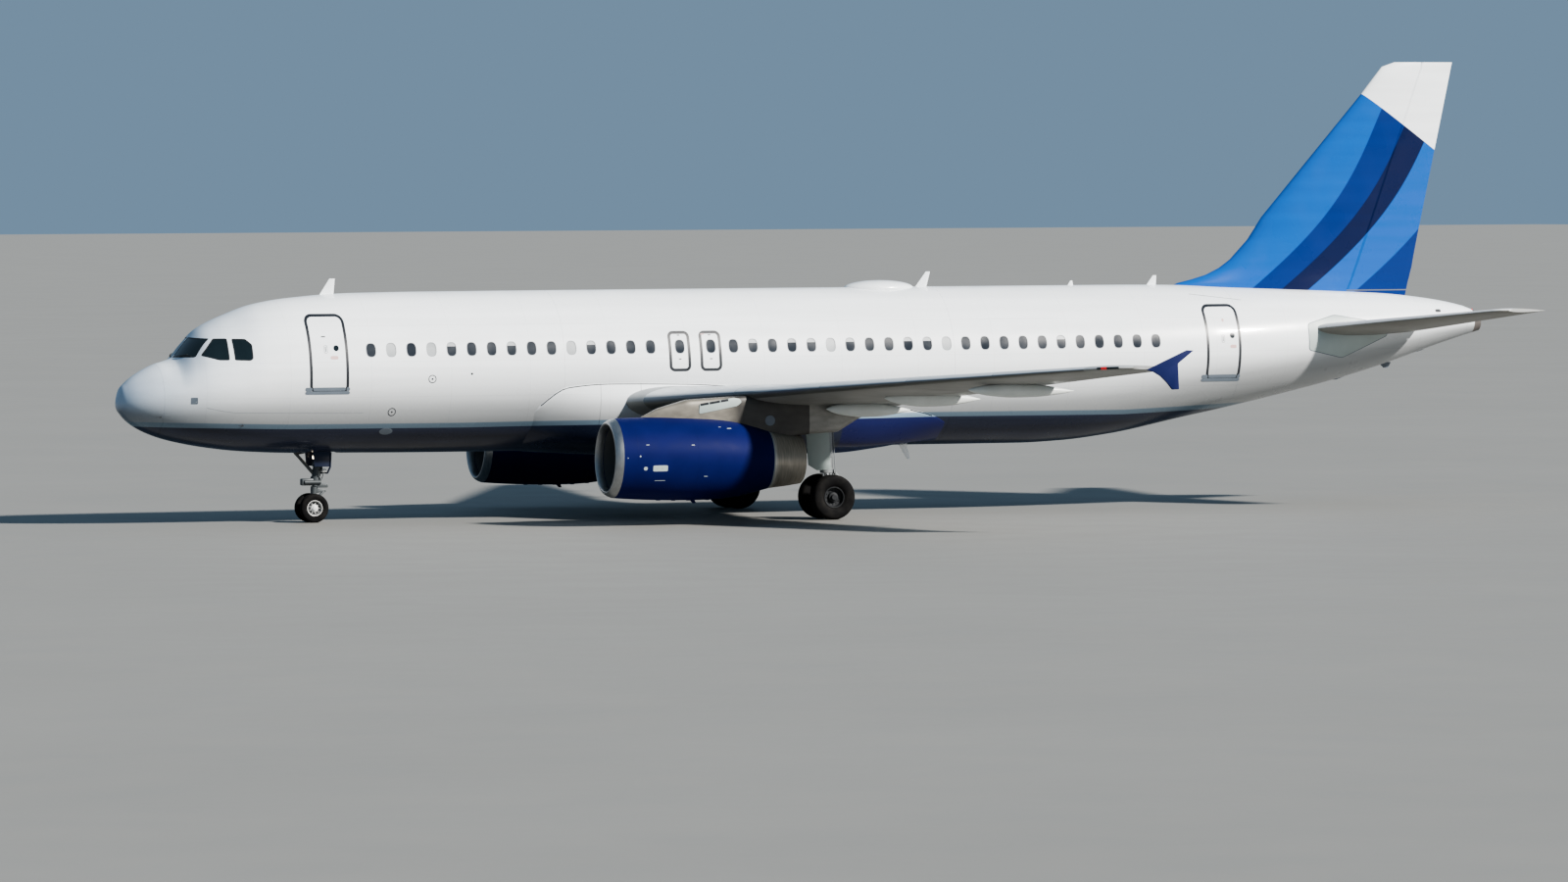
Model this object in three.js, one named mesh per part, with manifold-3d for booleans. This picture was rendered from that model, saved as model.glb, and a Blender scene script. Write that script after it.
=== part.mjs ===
// A twin-engined narrow-body airliner standing on its landing gear, in millimetres with +Z up.
// The nose points towards -X and the left wing towards -Y. The origin is on the ground, under the
// middle of the aircraft's length. Stations are distances aft of the nose tip.
import * as THREE from 'three';
import { mergeVertices } from 'three/addons/utils/BufferGeometryUtils.js';
import Module from 'manifold-3d';

const wasm = await Module();
wasm.setup();

const LENGTH = 37570;
const HALF_SPAN = 17050;
const GAP = 0.3;
const RUNNING_GAP = 0.35;
const FAR = 30000;
const OUTSIDE = 300;
const BESIDE = 500;
const ROD_SIDES = 10;

// Fuselage
const FUSELAGE_SIDES = 28;
const LINING_SIDES = 12;
const RADOME_END = 1000;
const FORWARD_END = 11300;
const CENTRE_END = 21900;
const AFT_END = 30000;
const TAIL_END = 37100;
const FUSELAGE_SECTIONS = table(['station', 'top', 'keel', 'halfWidth', 'waist'], [
  [0, 3140, 3000, 70, 3070],
  [30, 3280, 2930, 200, 3090],
  [100, 3490, 2830, 360, 3120],
  [220, 3620, 2690, 520, 3140],
  [450, 3800, 2510, 740, 3170],
  [1000, 4090, 2250, 1105, 3240],
  [1400, 4220, 2130, 1310, 3310],
  [1780, 4650, 2045, 1465, 3380],
  [2100, 4970, 1985, 1575, 3440],
  [2460, 5170, 1930, 1670, 3500],
  [2850, 5335, 1880, 1752, 3560],
  [3530, 5575, 1825, 1860, 3660],
  [4450, 5730, 1785, 1935, 3750],
  [6200, 5850, 1765, 1975, 3805],
  [8500, 5870, 1745, 1975, 3810],
  [24300, 5880, 1740, 1975, 3810],
  [25500, 5880, 1790, 1970, 3840],
  [26900, 5880, 1950, 1955, 3930],
  [28850, 5860, 2335, 1895, 4070],
  [30000, 5810, 2560, 1800, 4160],
  [31300, 5760, 2830, 1635, 4270],
  [33500, 5660, 3340, 1240, 4480],
  [34750, 5590, 3690, 985, 4620],
  [35800, 5480, 4030, 745, 4740],
  [37100, 5235, 4430, 405, 4830],
  [37570, 5045, 4560, 240, 4810],
]);

// Passenger doors and cargo doors: a plug of the skin in a pocket that is one plug deep.
const DOOR_THICKNESS = 90;
const DOOR_CORNER = 140;
const PASSENGER_DOORS = table(['name', 'side', 'front', 'rear', 'sill', 'head'], [
  ['door_forward_left', -1, 4640, 5510, 3400, 5270],
  ['door_forward_right', 1, 4640, 5510, 3400, 5270],
  ['door_aft_left', -1, 29060, 29920, 3420, 5290],
  ['door_aft_right', 1, 29060, 29920, 3420, 5290],
]);
const CARGO_DOOR_GAP = 7;
const CARGO_KNUCKLE = 18;
const KNUCKLE_SIDES = 12;
const CARGO_WEB = { inset: 60, drop: 60, outline: [[-36, 1], [-14, 1], [4, 0], [-10, 0]] };
const HOLD_DEPTH = 1300;
const HOLD_MARGIN = 90;
const CARGO_DOORS = table(['name', 'front', 'rear', 'sill', 'hinge'], [
  ['cargo_door_forward', 8060, 9880, 2130, 3340],
  ['cargo_door_aft', 22620, 24440, 2130, 3340],
]);

// Cockpit glazing: a band under the skin that joins six panes.
const PANE_DEPTH = 4;
const SIDE_PANE_REACH = [500, 2500];
const WINDSCREEN_REACH = [900, 2700];
const BAND_OUTER = 34;
const BAND_INNER = 84;
const BAND_SILL = 4190;
const BAND_HEAD = 4920;
const BAND_FRONT = 1250;
const BAND_REAR = 3300;
const WINDSCREEN = [[50, 4268], [1065, 4280], [925, 4735], [50, 4755]];
const SIDE_PANES = [
  [[1935, 4320], [2280, 4732], [2583, 4736], [2572, 4206], [2340, 4207]],
  [[2716, 4205], [2708, 4728], [3018, 4722], [3156, 4585], [3152, 4240], [3088, 4192]],
];

// Aerials on the skin: root station, root chord, height, sweep back and where the root sits.
const AERIAL_THICKNESS = 26;
const AERIALS = table(['section', 'front', 'chord', 'root', 'tip', 'sweep'], [
  ['forward', 5320, 400, 5760, 6220, 300],
  ['centre', 21480, 330, 5830, 6270, 330],
  ['centre', 21000, 240, 1790, 1360, 260],
]);
const SATCOM = { station: 20490, halfLength: 960, halfWidth: 560, halfHeight: 240, height: 5820 };
const DOME_SIDES = 20;
const APU_EXHAUST = { station: 37150, height: 4805, inner: 150, outer: 170 };

// Belly fairing: the height of its upper edge and how far it stands out of the fuselage.
const FAIRING_SECTIONS = table(['station', 'edge', 'side', 'corner', 'keel'], [
  [10300, 2450, -40, -40, -40],
  [10700, 2950, 20, 50, 15],
  [11400, 3400, 90, 150, 60],
  [12500, 3480, 170, 290, 120],
  [14500, 3450, 215, 350, 165],
  [17000, 3280, 215, 370, 190],
  [19150, 3020, 190, 350, 190],
  [20450, 2760, 120, 230, 60],
  [21400, 2540, 60, 80, -70],
  [22050, 2230, -40, -60, -40],
]);

const EDGE_STEP = 12;
const FAIRING_INSIDE = -60;

// Wing: from inside the belly fairing to the tip, seen on the right side.
const WING_SECTIONS = table(['span', 'leading', 'chord', 'height', 'thickness', 'incidence'], [
  [1200, 12510, 6500, 2975, 0.155, 5.5],
  [4200, 14025, 4975, 3190, 0.135, 5.3],
  [6400, 15137, 3863, 3347, 0.120, 5.0],
  [11500, 17715, 2705, 3712, 0.113, 4.3],
  [16200, 20091, 1633, 4048, 0.108, 3.0],
  [16700, 20430, 1433, 4085, 0.100, 2.6],
  [16985, 20960, 980, 4100, 0.090, 2.5],
]);
const WING_CAMBER = 0.015;
const BEHIND_WING = 4000;
const HULL_ALONG_WING = [10000, 23000];
const FLAP_FRONT = [[1900, 18050], [6410, 18050], [13380, 20330]];
const FLAP_SPLIT = 6410;
const FLAP_END = 13380;
const AILERON = { inner: 13480, outer: 16250, fraction: 0.74, endGap: 26, hinges: [13980, 15750] };
const SLAT = { inner: 2560, outer: 16100 };
const SLAT_CUT = [[-0.1, -0.3], [0.045, -0.3], [0.045, -0.01], [0.15, 0.03], [0.15, 0.3], [-0.1, 0.3]];
const FLAP_CANOES = table(['span', 'front', 'rear', 'axis', 'halfWidth', 'halfHeight'], [
  [6180, 16900, 19150, 2885, 170, 190],
  [8600, 17600, 20150, 3210, 150, 205],
  [12500, 18400, 21180, 3490, 135, 175],
]);
const CANOE_DROP = 60;
const CANOE_SIZES = [
  [0, 0.06], [0.06, 0.4], [0.2, 0.8], [0.4, 1], [0.62, 0.9], [0.82, 0.55], [1, 0.05],
];
const FENCE = [
  [21320, 4040], [22363, 4505], [22541, 4497], [22133, 4184], [22156, 3562],
  [21978, 3556], [21826, 3738], [21674, 3882], [21497, 3988],
];

// Fin and tailplane: the fin's span is its height, and its height column is its side offset.
const FIN_SECTIONS = table(['span', 'leading', 'chord', 'height', 'thickness', 'incidence'], [
  [5300, 27600, 7800, 0, 0.066, 0],
  [5910, 28890, 6650, 0, 0.078, 0],
  [6120, 29700, 5900, 0, 0.087, 0],
  [6520, 30390, 5300, 0, 0.095, 0],
  [7050, 30900, 4900, 0, 0.100, 0],
  [7640, 31300, 4630, 0, 0.102, 0],
  [10900, 34180, 2470, 0, 0.105, 0],
  [11640, 34790, 2020, 0, 0.105, 0],
  [11760, 35150, 1690, 0, 0.080, 0],
]);
const RUDDER_HINGE = [[5300, 33620], [11760, 35980]];
const RUDDER = { inner: 5660, outer: 11790, endGap: 30, hinges: [6700, 8600, 10600] };
const TAILPLANE_SECTIONS = table(['span', 'leading', 'chord', 'height', 'thickness', 'incidence'], [
  [600, 31790, 3520, 4610, 0.105, 1],
  [6020, 35310, 1400, 5180, 0.100, 1],
  [6225, 35680, 1070, 5200, 0.085, 1],
]);
const ELEVATOR_HINGE = [[600, 34220], [6225, 36220]];
const ELEVATOR = { inner: 1112, outer: 6020, endGap: 38, hinges: [1900, 4300] };
const COVE_GAP = 12;
const HINGE_SIDES = 10;
const HINGE_PIN = 16;
const HINGE_PIN_SIDES = 8;
const HINGE_PIN_LENGTH = 102;
const HINGE_LUG_WIDTH = 26;
const HINGE_SLOT_WIDTH = 42;
const HINGE_BAR_BEYOND = 200;
const TAIL_ROOT_START = 26000;
const RUDDER_CLEARANCE = 40;
const ELEVATOR_CLEARANCE = 25;

// Engines: local x runs aft from the inlet lip along an axis that tips nose-up.
const ENGINE = { station: 11080, span: 5750, height: 1722, tilt: 1.3 };
const ENGINE_SIDES = 24;
const LIP_FRONT = 90;
const LIP_END = 290;
const COWL_END = 4365;
const NOZZLE_END = 5235;
const LIP_OUTER = [[LIP_FRONT, 870], [112, 916], [178, 962], [LIP_END, 1000]];
const LIP_INNER = [[LIP_END, 815], [178, 820], [108, 842]];
const COWL_OUTER = [[LIP_END, 1000], [1000, 1033], [1900, 1045], [2900, 1018], [3600, 930], [COWL_END, 735]];
const COWL_INNER = [[COWL_END, 700], [3500, 815], [2500, 850], [1500, 815], [LIP_END, 815]];
const NOZZLE_OUTER = [[COWL_END, 730], [NOZZLE_END, 602]];
const NOZZLE_INNER = [[NOZZLE_END, 588], [COWL_END, 700]];
const FAN = { blades: 22, centre: 1160, thickness: 16 };
const FAN_ROOT = { radius: 235, chord: 190, stagger: 20, fullness: 1.6 };
const FAN_TIP = { radius: 797, chord: 275, stagger: 60, fullness: 0.8 };
const SPINNER = [[620, 0], [700, 92], [850, 185], [1030, 250], [1300, 250]];
const HUB_SIDES = FAN.blades;
const SHAFT_BORE = 100;
const SHAFT_START = 1160;
const SHAFT_CLEARANCE = 10;
const CORE_END = 5190;
const DUCT = [[400, 815], [1500, 815], [2500, 850]];
const CORE = [[1306, 250], [1500, 400], [2300, 470], [3600, 430], [4550, 345], [4555, 215], [5170, 40]];
const CORE_SIDES = 14;
const STRUTS = { count: 6, front: 1420, rear: 1640, thickness: 26, from: 300, to: 1000 };
const PYLON_SIDE = [
  [12030, 2700], [13300, 3160], [14950, 3250], [18340, 2975], [18340, 2830], [17850, 2600],
  [17310, 2290], [16500, 2250], [16300, 2214], [15500, 1900], [13000, 1900], [12100, 2400],
];
const PYLON_HALF_WIDTH = 215;
const PYLON_PLAN = [[11950, 0], [12500, 0.6], [13400, 1], [15800, 1], [17200, 0.75], [18340, 0.12]];

// Landing gear
const WHEEL_SIDES = 18;
const NOSE_WHEEL = { radius: 370, width: 215, rim: 205, spacing: 500, axle: 45, station: 5105 };
const MAIN_WHEEL = { radius: 575, width: 400, rim: 275, spacing: 930, axle: 70, station: 17710 };
const TRACK = 7590;
const DISC = [[-0.12, 0.75], [-0.36, 1], [0.36, 1], [0.12, 0.75]];
const BOSS = { reach: 0.42, radius: 1.9 };
const TYRE = [[0.37, 0], [0.5, 0.5], [0.33, 1]];
const SLEEVE = { radius: 1.65, nose: 92, main: 190 };
const NOSE_LEG = { top: [5380, 2250], radius: 105, piston: 62, split: 930, overlap: 300, boreEnd: 500 };
const NOSE_COLLAR = { from: 1130, to: 1000, radius: 128 };
const NOSE_BRACES = table(['from', 'station', 'height', 'radius'], [
  [1210, 4600, 1900, 42],
  [2000, 5420, 2000, 60],
]);
const NOSE_STEERING = table(['front', 'rear', 'low', 'high', 'halfWidth'], [
  [4830, 5150, 945, 1120, 110],
  [5190, 5525, 886, 985, 85],
]);
const NOSE_LINK = { low: 520, high: 825, knee: [370, 290], halfWidths: [45, 38] };
const NOSE_LAMPS = { heights: [1800, 1660], front: 175, glass: 52, rim: 40 };
const TOW_FITTING = { reach: 130, halfHeight: 30, halfWidth: 50 };
const NOSE_BAY = { front: 4980, rear: 5780, halfWidth: 375, floor: 1500, roof: 2250 };
const NOSE_DOOR = { front: 5040, rear: 5525, rake: 40, sill: 1430, head: 1860, thickness: 24, beside: 8, link: 22 };
const MAIN_LEG = { top: 2790, radius: 150, piston: 92, split: 1180, overlap: 50, pocket: 900 };
const MAIN_BRAKE = { inner: 130, outer: 245, radius: 205 };
const MAIN_LINK = {
  outline: [[100, 700], [100, 800], [360, 1010], [120, 1250], [120, 1330], [430, 1010]],
  halfWidth: 60,
};
const MAIN_BARS = table(['from', 'to', 'back', 'across', 'radius'], [
  [1650, 2350, -120, -1450, 62],
  [1560, 1560, -160, 485, 36],
  [2250, 2250, -160, 485, 36],
]);
const MAIN_DOOR = {
  outline: [[17000, 2700], [17590, 2700], [17665, 1286], [17296, 1267], [17058, 1409], [17000, 2160]],
  offset: 470,
  thickness: 34,
};
const JACK_PAD = {
  radius: 60, nose: 6600, noseEnds: [1790, 1725], wingSpan: 4900, wingStation: 17300, wingReach: 290,
};

const NAVY = 0x1a2350;
const ROYAL = 0x1f3f96;
const WHITE = 0xe9ebee;
const GREY = 0xa9adb3;
const METAL = 0xb8bbc0;
const BRONZE = 0x8b8175;
const RUBBER = 0x1b1b1c;
const GLASS = 0x14181d;
const PALE = 0xc9d0cc;

function table(columns, rows) {
  return rows.map((row) => Object.fromEntries(columns.map((column, i) => [column, row[i]])));
}

function atStation(station) {
  return station - LENGTH / 2;
}

function mix(a, b, share) {
  return a + (b - a) * share;
}

// The row of a table at a value of its first column, between its neighbours.
function rowAt(rows, key, value) {
  const last = rows.length - 2;
  const found = rows.findIndex((row, i) => i <= last && value <= rows[i + 1][key]);
  const index = found < 0 ? last : found;
  const [a, b] = [rows[index], rows[index + 1]];
  const share = (value - a[key]) / (b[key] - a[key]);
  return Object.fromEntries(Object.keys(a).map((column) => [column, mix(a[column], b[column], share)]));
}

// The height of a straight run of [place, value] points at a place.
function lineAt(points, place) {
  const rows = points.map(([at, value]) => ({ at, value }));
  return rowAt(rows, 'at', place).value;
}

// A closed skin over rings of points, with a flat cap at each end. Each four-sided patch is split
// along its shorter diagonal, so that a symmetrical body stays symmetrical.
function loft(rings) {
  const sides = rings[0].length;
  const points = rings.flat();
  const span = (i, j) => Math.hypot(...points[i].map((value, axis) => value - points[j][axis]));
  const index = [];
  for (let ring = 0; ring < rings.length - 1; ring += 1) {
    for (let side = 0; side < sides; side += 1) {
      const next = (side + 1) % sides;
      const [a, b] = [ring * sides + side, ring * sides + next];
      const [c, d] = [a + sides, b + sides];
      if (span(b, c) < span(a, d) - 0.01) {
        index.push(a, b, c, b, d, c);
      } else {
        index.push(a, b, d, a, d, c);
      }
    }
  }
  const end = (rings.length - 1) * sides;
  for (let side = 1; side < sides - 1; side += 1) {
    index.push(0, side + 1, side);
    index.push(end, end + side, end + side + 1);
  }
  const geometry = new THREE.BufferGeometry();
  geometry.setAttribute('position', new THREE.Float32BufferAttribute(rings.flat(2), 3));
  geometry.setIndex(index);
  return facingOut(geometry);
}

// Turns every triangle over where the closed skin faces inwards.
function facingOut(geometry) {
  const { position } = geometry.attributes;
  const corners = [new THREE.Vector3(), new THREE.Vector3(), new THREE.Vector3()];
  const index = Array.from(geometry.index.array);
  let volume = 0;
  for (let i = 0; i < index.length; i += 3) {
    corners.forEach((corner, c) => corner.fromBufferAttribute(position, index[i + c]));
    volume += corners[0].dot(corners[1].clone().cross(corners[2]));
  }
  if (volume < 0) {
    for (let i = 0; i < index.length; i += 3) {
      [index[i + 1], index[i + 2]] = [index[i + 2], index[i + 1]];
    }
    geometry.setIndex(index);
  }
  return geometry;
}

// A straight prism of a flat outline. Its outline is in the plane across its axis: x and y along z,
// x and z along y, or y and z along x.
function prism(outline, axis, from, to) {
  const points = outline.map(([a, b]) => new THREE.Vector2(a, b));
  if (THREE.ShapeUtils.isClockWise(points)) {
    points.reverse();
  }
  const geometry = new THREE.ExtrudeGeometry(new THREE.Shape(points), {
    depth: to - from,
    bevelEnabled: false,
    curveSegments: 4,
  });
  if (axis === 'y') {
    geometry.rotateX(Math.PI / 2).translate(0, to, 0);
  } else if (axis === 'x') {
    const [across, up, along] = [[0, 1, 0], [0, 0, 1], [1, 0, 0]].map((v) => new THREE.Vector3(...v));
    geometry.applyMatrix4(new THREE.Matrix4().makeBasis(across, up, along)).translate(from, 0, 0);
  } else {
    geometry.translate(0, 0, from);
  }
  return solid(geometry);
}

function roundedRectangle(left, right, low, high, corner) {
  const shape = new THREE.Shape();
  shape.absarc(right - corner, high - corner, corner, 0, Math.PI / 2);
  shape.absarc(left + corner, high - corner, corner, Math.PI / 2, Math.PI);
  shape.absarc(left + corner, low + corner, corner, Math.PI, 1.5 * Math.PI);
  shape.absarc(right - corner, low + corner, corner, 1.5 * Math.PI, 2 * Math.PI);
  return shape.getPoints(2).slice(0, -1).map((point) => [point.x, point.y]);
}

// A round bar between two points, with its own radius at each.
function rod(from, to, fromRadius, toRadius = fromRadius, sides = ROD_SIDES, turnedBy = Math.PI / sides) {
  const start = new THREE.Vector3(...from);
  const way = new THREE.Vector3(...to).sub(start);
  const geometry = new THREE.CylinderGeometry(toRadius, fromRadius, way.length(), sides);
  geometry.rotateY(turnedBy).translate(0, way.length() / 2, 0);
  const turn = new THREE.Quaternion().setFromUnitVectors(new THREE.Vector3(0, 1, 0), way.normalize());
  geometry.applyQuaternion(turn).translate(...from);
  return solid(geometry);
}

// The bore that a round bar with as many sides turns in. It is turned by half a side, so that the
// bar's corners lie close to the middle of its flats.
function bore(from, to, radius, sides) {
  const reach = (radius + RUNNING_GAP) / Math.cos(Math.PI / sides);
  return rod(from, to, reach, reach, sides, 0);
}

// A body turned about the X axis from [place, radius] points, from one point on the axis to another.
function turned(profile, sides) {
  const points = profile.map(([place, radius]) => new THREE.Vector2(radius, place));
  const geometry = new THREE.LatheGeometry(points, sides, Math.PI / sides);
  return solid(geometry.rotateZ(-Math.PI / 2));
}

function solid(geometry) {
  const bare = geometry.clone();
  bare.deleteAttribute('normal');
  bare.deleteAttribute('uv');
  const merged = mergeVertices(bare, 0.001);
  const triangles = [];
  for (let i = 0; i < merged.index.count; i += 3) {
    const [a, b, c] = [0, 1, 2].map((corner) => merged.index.getX(i + corner));
    if (a !== b && b !== c && c !== a) {
      triangles.push(a, b, c);
    }
  }
  merged.setIndex(triangles);
  facingOut(merged);
  const vertProperties = Float32Array.from(merged.attributes.position.array);
  const triVerts = Uint32Array.from(merged.index.array);
  return new wasm.Manifold(new wasm.Mesh({ numProp: 3, vertProperties, triVerts }));
}

function joined(...solids) {
  return solids.reduce((whole, piece) => whole.add(piece));
}

function cut(whole, ...tools) {
  return tools.reduce((rest, tool) => rest.subtract(tool), whole);
}

function skinOf(body) {
  const { vertProperties, triVerts } = body.getMesh();
  const geometry = new THREE.BufferGeometry();
  geometry.setAttribute('position', new THREE.Float32BufferAttribute(vertProperties, 3));
  geometry.setIndex(Array.from(triVerts));
  return geometry;
}

function moved(body, matrix) {
  return solid(skinOf(body).applyMatrix4(matrix));
}

function mirrored(body) {
  return moved(body, new THREE.Matrix4().makeScale(1, -1, 1));
}

const airliner = new THREE.Group();

function add(name, body, color, metalness = 0.1, roughness = 0.4, parent = airliner) {
  const material = new THREE.MeshStandardMaterial({ color, metalness, roughness });
  const mesh = new THREE.Mesh(skinOf(body), material);
  mesh.name = name;
  parent.add(mesh);
}

function addPair(name, right, color, metalness, roughness) {
  add(`${name}_right`, right, color, metalness, roughness);
  add(`${name}_left`, mirrored(right), color, metalness, roughness);
}

// Fuselage

function fuselageRing(station, grow, sides) {
  const { top, keel, halfWidth, waist } = rowAt(FUSELAGE_SECTIONS, 'station', station);
  return Array.from({ length: sides }, (_, side) => {
    const angle = (2 * Math.PI * side) / sides;
    const rise = Math.sin(angle) > 0 ? top - waist : waist - keel;
    const y = (halfWidth + grow) * Math.cos(angle);
    return [atStation(station), y, waist + (rise + grow) * Math.sin(angle)];
  });
}

function fuselage(from, to, grow = 0, sides = FUSELAGE_SIDES) {
  const between = FUSELAGE_SECTIONS.map((row) => row.station).filter((s) => s > from && s < to);
  return solid(loft([from, ...between, to].map((station) => fuselageRing(station, grow, sides))));
}

// The skin of a stretch of fuselage from one depth to another.
function skinLayer(from, to, outer, inner, outerSides = FUSELAGE_SIDES) {
  return cut(fuselage(from, to, -outer, outerSides), fuselage(from - 1, to + 1, -inner, LINING_SIDES));
}

function doorPrism(door, margin) {
  const [front, rear] = [atStation(door.front - margin), atStation(door.rear + margin)];
  const outline = roundedRectangle(front, rear, door.sill - margin, door.head + margin, DOOR_CORNER);
  const side = door.side ?? 1;
  return prism(outline, 'y', side > 0 ? 0 : -FAR, side > 0 ? FAR : 0);
}

function passengerDoor(door) {
  const layer = skinLayer(door.front - BESIDE, door.rear + BESIDE, 0, DOOR_THICKNESS);
  return layer.intersect(doorPrism(door, 0));
}

function passengerPocket(door) {
  const layer = skinLayer(door.front - BESIDE, door.rear + BESIDE, -OUTSIDE, DOOR_THICKNESS + GAP);
  return layer.intersect(doorPrism(door, GAP));
}

// Where a cargo door's hinge line meets the skin on the right side.
function cargoHingeY(door) {
  const { halfWidth, waist, keel } = rowAt(FUSELAGE_SECTIONS, 'station', door.front);
  return halfWidth * Math.sqrt(1 - ((waist - door.hinge) / (waist - keel)) ** 2);
}

// The ends of a cargo door's hinge line, moved out by a margin.
function cargoHingeEnds(door, margin) {
  const y = cargoHingeY(door);
  return [door.front - margin, door.rear + margin].map((station) => [atStation(station), y, door.hinge]);
}

function cargoKnuckle(door, radius, margin) {
  const [start, end] = cargoHingeEnds(door, margin);
  return rod(start, end, radius, radius, KNUCKLE_SIDES);
}

function cargoBox(door, margin, from, top) {
  const [front, rear] = [atStation(door.front - margin), atStation(door.rear + margin)];
  const outline = roundedRectangle(front, rear, door.sill - margin, top, DOOR_CORNER / 2);
  return prism(outline, 'y', from, FAR);
}

// The narrow strip that joins a cargo door's panel to its knuckle.
function cargoWeb(door) {
  const { inset, drop, outline } = CARGO_WEB;
  const y = cargoHingeY(door);
  const placed = outline.map(([across, share]) => [y + across, door.hinge - share * drop]);
  return prism(placed, 'x', atStation(door.front + inset), atStation(door.rear - inset));
}

function cargoDoor(door) {
  const layer = skinLayer(door.front - BESIDE, door.rear + BESIDE, 0, DOOR_THICKNESS);
  const panel = layer.intersect(cargoBox(door, 0, 0, door.hinge - 2 * CARGO_DOOR_GAP));
  const clearance = cargoKnuckle(door, CARGO_KNUCKLE + CARGO_DOOR_GAP, BESIDE);
  const knuckle = cargoKnuckle(door, CARGO_KNUCKLE, -CARGO_WEB.inset);
  return joined(cut(panel, clearance), cargoWeb(door), knuckle);
}

function cargoPocket(door) {
  const layer = skinLayer(door.front - BESIDE, door.rear + BESIDE, -OUTSIDE, DOOR_THICKNESS + CARGO_DOOR_GAP);
  const pocket = layer.intersect(cargoBox(door, CARGO_DOOR_GAP, 0, door.hinge));
  const [start, end] = cargoHingeEnds(door, CARGO_DOOR_GAP);
  const hinge = bore(start, end, CARGO_KNUCKLE, KNUCKLE_SIDES);
  const hold = cargoBox(door, -HOLD_MARGIN, cargoHingeY(door) - HOLD_DEPTH, door.hinge - HOLD_MARGIN);
  return joined(pocket, hinge, hold);
}

// The six panes reach from near the skin to the band that joins them.
function panePrisms(margin) {
  const grown = (outline, reach) => outline.map(([a, b]) => {
    const middle = outline.reduce((sum, point) => [sum[0] + point[0], sum[1] + point[1]], [0, 0]);
    const [ca, cb] = middle.map((sum) => sum / outline.length);
    const arm = Math.hypot(a - ca, b - cb);
    return [a + ((a - ca) * reach) / arm, b + ((b - cb) * reach) / arm];
  });
  const sidePane = (outline, reach) => {
    const placed = grown(outline, reach).map(([station, z]) => [atStation(station), z]);
    return prism(placed, 'y', ...SIDE_PANE_REACH);
  };
  const windscreen = prism(grown(WINDSCREEN, margin), 'x', ...WINDSCREEN_REACH.map(atStation));
  const right = [windscreen, ...SIDE_PANES.map((outline) => sidePane(outline, margin))];
  return [...right, ...right.map(mirrored)];
}

function glazingBand(outer, inner, margin) {
  const layer = skinLayer(BAND_FRONT - margin, BAND_REAR + margin, outer, inner, LINING_SIDES);
  const [front, rear] = [atStation(BAND_FRONT - margin), atStation(BAND_REAR + margin)];
  const low = BAND_SILL - margin;
  const high = BAND_HEAD + margin;
  const outline = [[front, low], [rear, low], [rear, high], [front, high]];
  return layer.intersect(prism(outline, 'y', -FAR, FAR));
}

function glazing(paneDepth, bandOuter, bandInner, margin) {
  const paneLayer = skinLayer(BAND_FRONT - BESIDE, BAND_REAR + BESIDE, paneDepth, bandOuter + 1);
  const panes = panePrisms(margin).map((pane) => pane.intersect(paneLayer));
  return joined(glazingBand(bandOuter, bandInner, margin), ...panes);
}

// A swept blade aerial, as a thin diamond that stands on the skin.
function aerial({ front, chord, root, tip, sweep }) {
  const half = AERIAL_THICKNESS / 2;
  const ring = (station, length, z, width) => [
    [atStation(station), 0, z],
    [atStation(station + 0.4 * length), width, z],
    [atStation(station + length), 0, z],
    [atStation(station + 0.4 * length), -width, z],
  ];
  return solid(loft([ring(front, chord, root, half), ring(front + sweep, 0.35 * chord, tip, half / 2)]));
}

function aerialsOn(section) {
  return AERIALS.filter((row) => row.section === section).map(aerial);
}

function buildFuselage() {
  const pockets = PASSENGER_DOORS.map(passengerPocket);
  const [forwardHold, aftHold] = CARGO_DOORS.map(cargoPocket);
  const windows = glazing(-OUTSIDE, BAND_OUTER - GAP, BAND_INNER + GAP, GAP);
  add('radome', fuselage(0, RADOME_END - GAP), WHITE);
  const forward = fuselage(RADOME_END, FORWARD_END - GAP);
  const forwardCut = cut(forward, pockets[0], pockets[1], forwardHold, windows, noseBay());
  const pad = JACK_PAD.noseEnds.map((z) => [atStation(JACK_PAD.nose), 0, z]);
  const forwardParts = [forwardCut, rod(...pad, JACK_PAD.radius), ...aerialsOn('forward')];
  add('forward_fuselage', joined(...forwardParts), WHITE);
  add('centre_fuselage', joined(fuselage(FORWARD_END, CENTRE_END - GAP), ...aerialsOn('centre')), WHITE);
  const aft = fuselage(CENTRE_END, AFT_END - GAP);
  add('aft_fuselage', cut(aft, pockets[2], pockets[3], aftHold), WHITE);
  add('tail_fuselage', fuselage(AFT_END, TAIL_END - GAP), WHITE);
  const { station, height, inner, outer } = APU_EXHAUST;
  const exhaust = rod([atStation(station), 0, height], [atStation(LENGTH + 50), 0, height], inner, outer);
  add('apu_exhaust_cone', cut(fuselage(TAIL_END, LENGTH), exhaust), METAL, 0.8, 0.4);
  add('cockpit_glazing', glazing(PANE_DEPTH, BAND_OUTER, BAND_INNER, 0), GLASS, 0.2, 0.1);
  PASSENGER_DOORS.forEach((door) => add(door.name, passengerDoor(door), WHITE));
  CARGO_DOORS.forEach((door) => add(door.name, cargoDoor(door), WHITE));
  const dome = new THREE.SphereGeometry(1, DOME_SIDES, DOME_SIDES / 2).rotateX(Math.PI / 2);
  dome.scale(SATCOM.halfLength, SATCOM.halfWidth, SATCOM.halfHeight);
  dome.translate(atStation(SATCOM.station), 0, SATCOM.height);
  const { station: middle, halfLength } = SATCOM;
  const below = fuselage(middle - 1.5 * halfLength, middle + 1.5 * halfLength, GAP);
  add('satcom_dome', cut(solid(dome), below), WHITE);
}

function noseBay() {
  const [front, rear] = [atStation(NOSE_BAY.front), atStation(NOSE_BAY.rear)];
  const { floor, roof, halfWidth } = NOSE_BAY;
  return prism([[front, floor], [rear, floor], [rear, roof], [front, roof]], 'y', -halfWidth, halfWidth);
}

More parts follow.
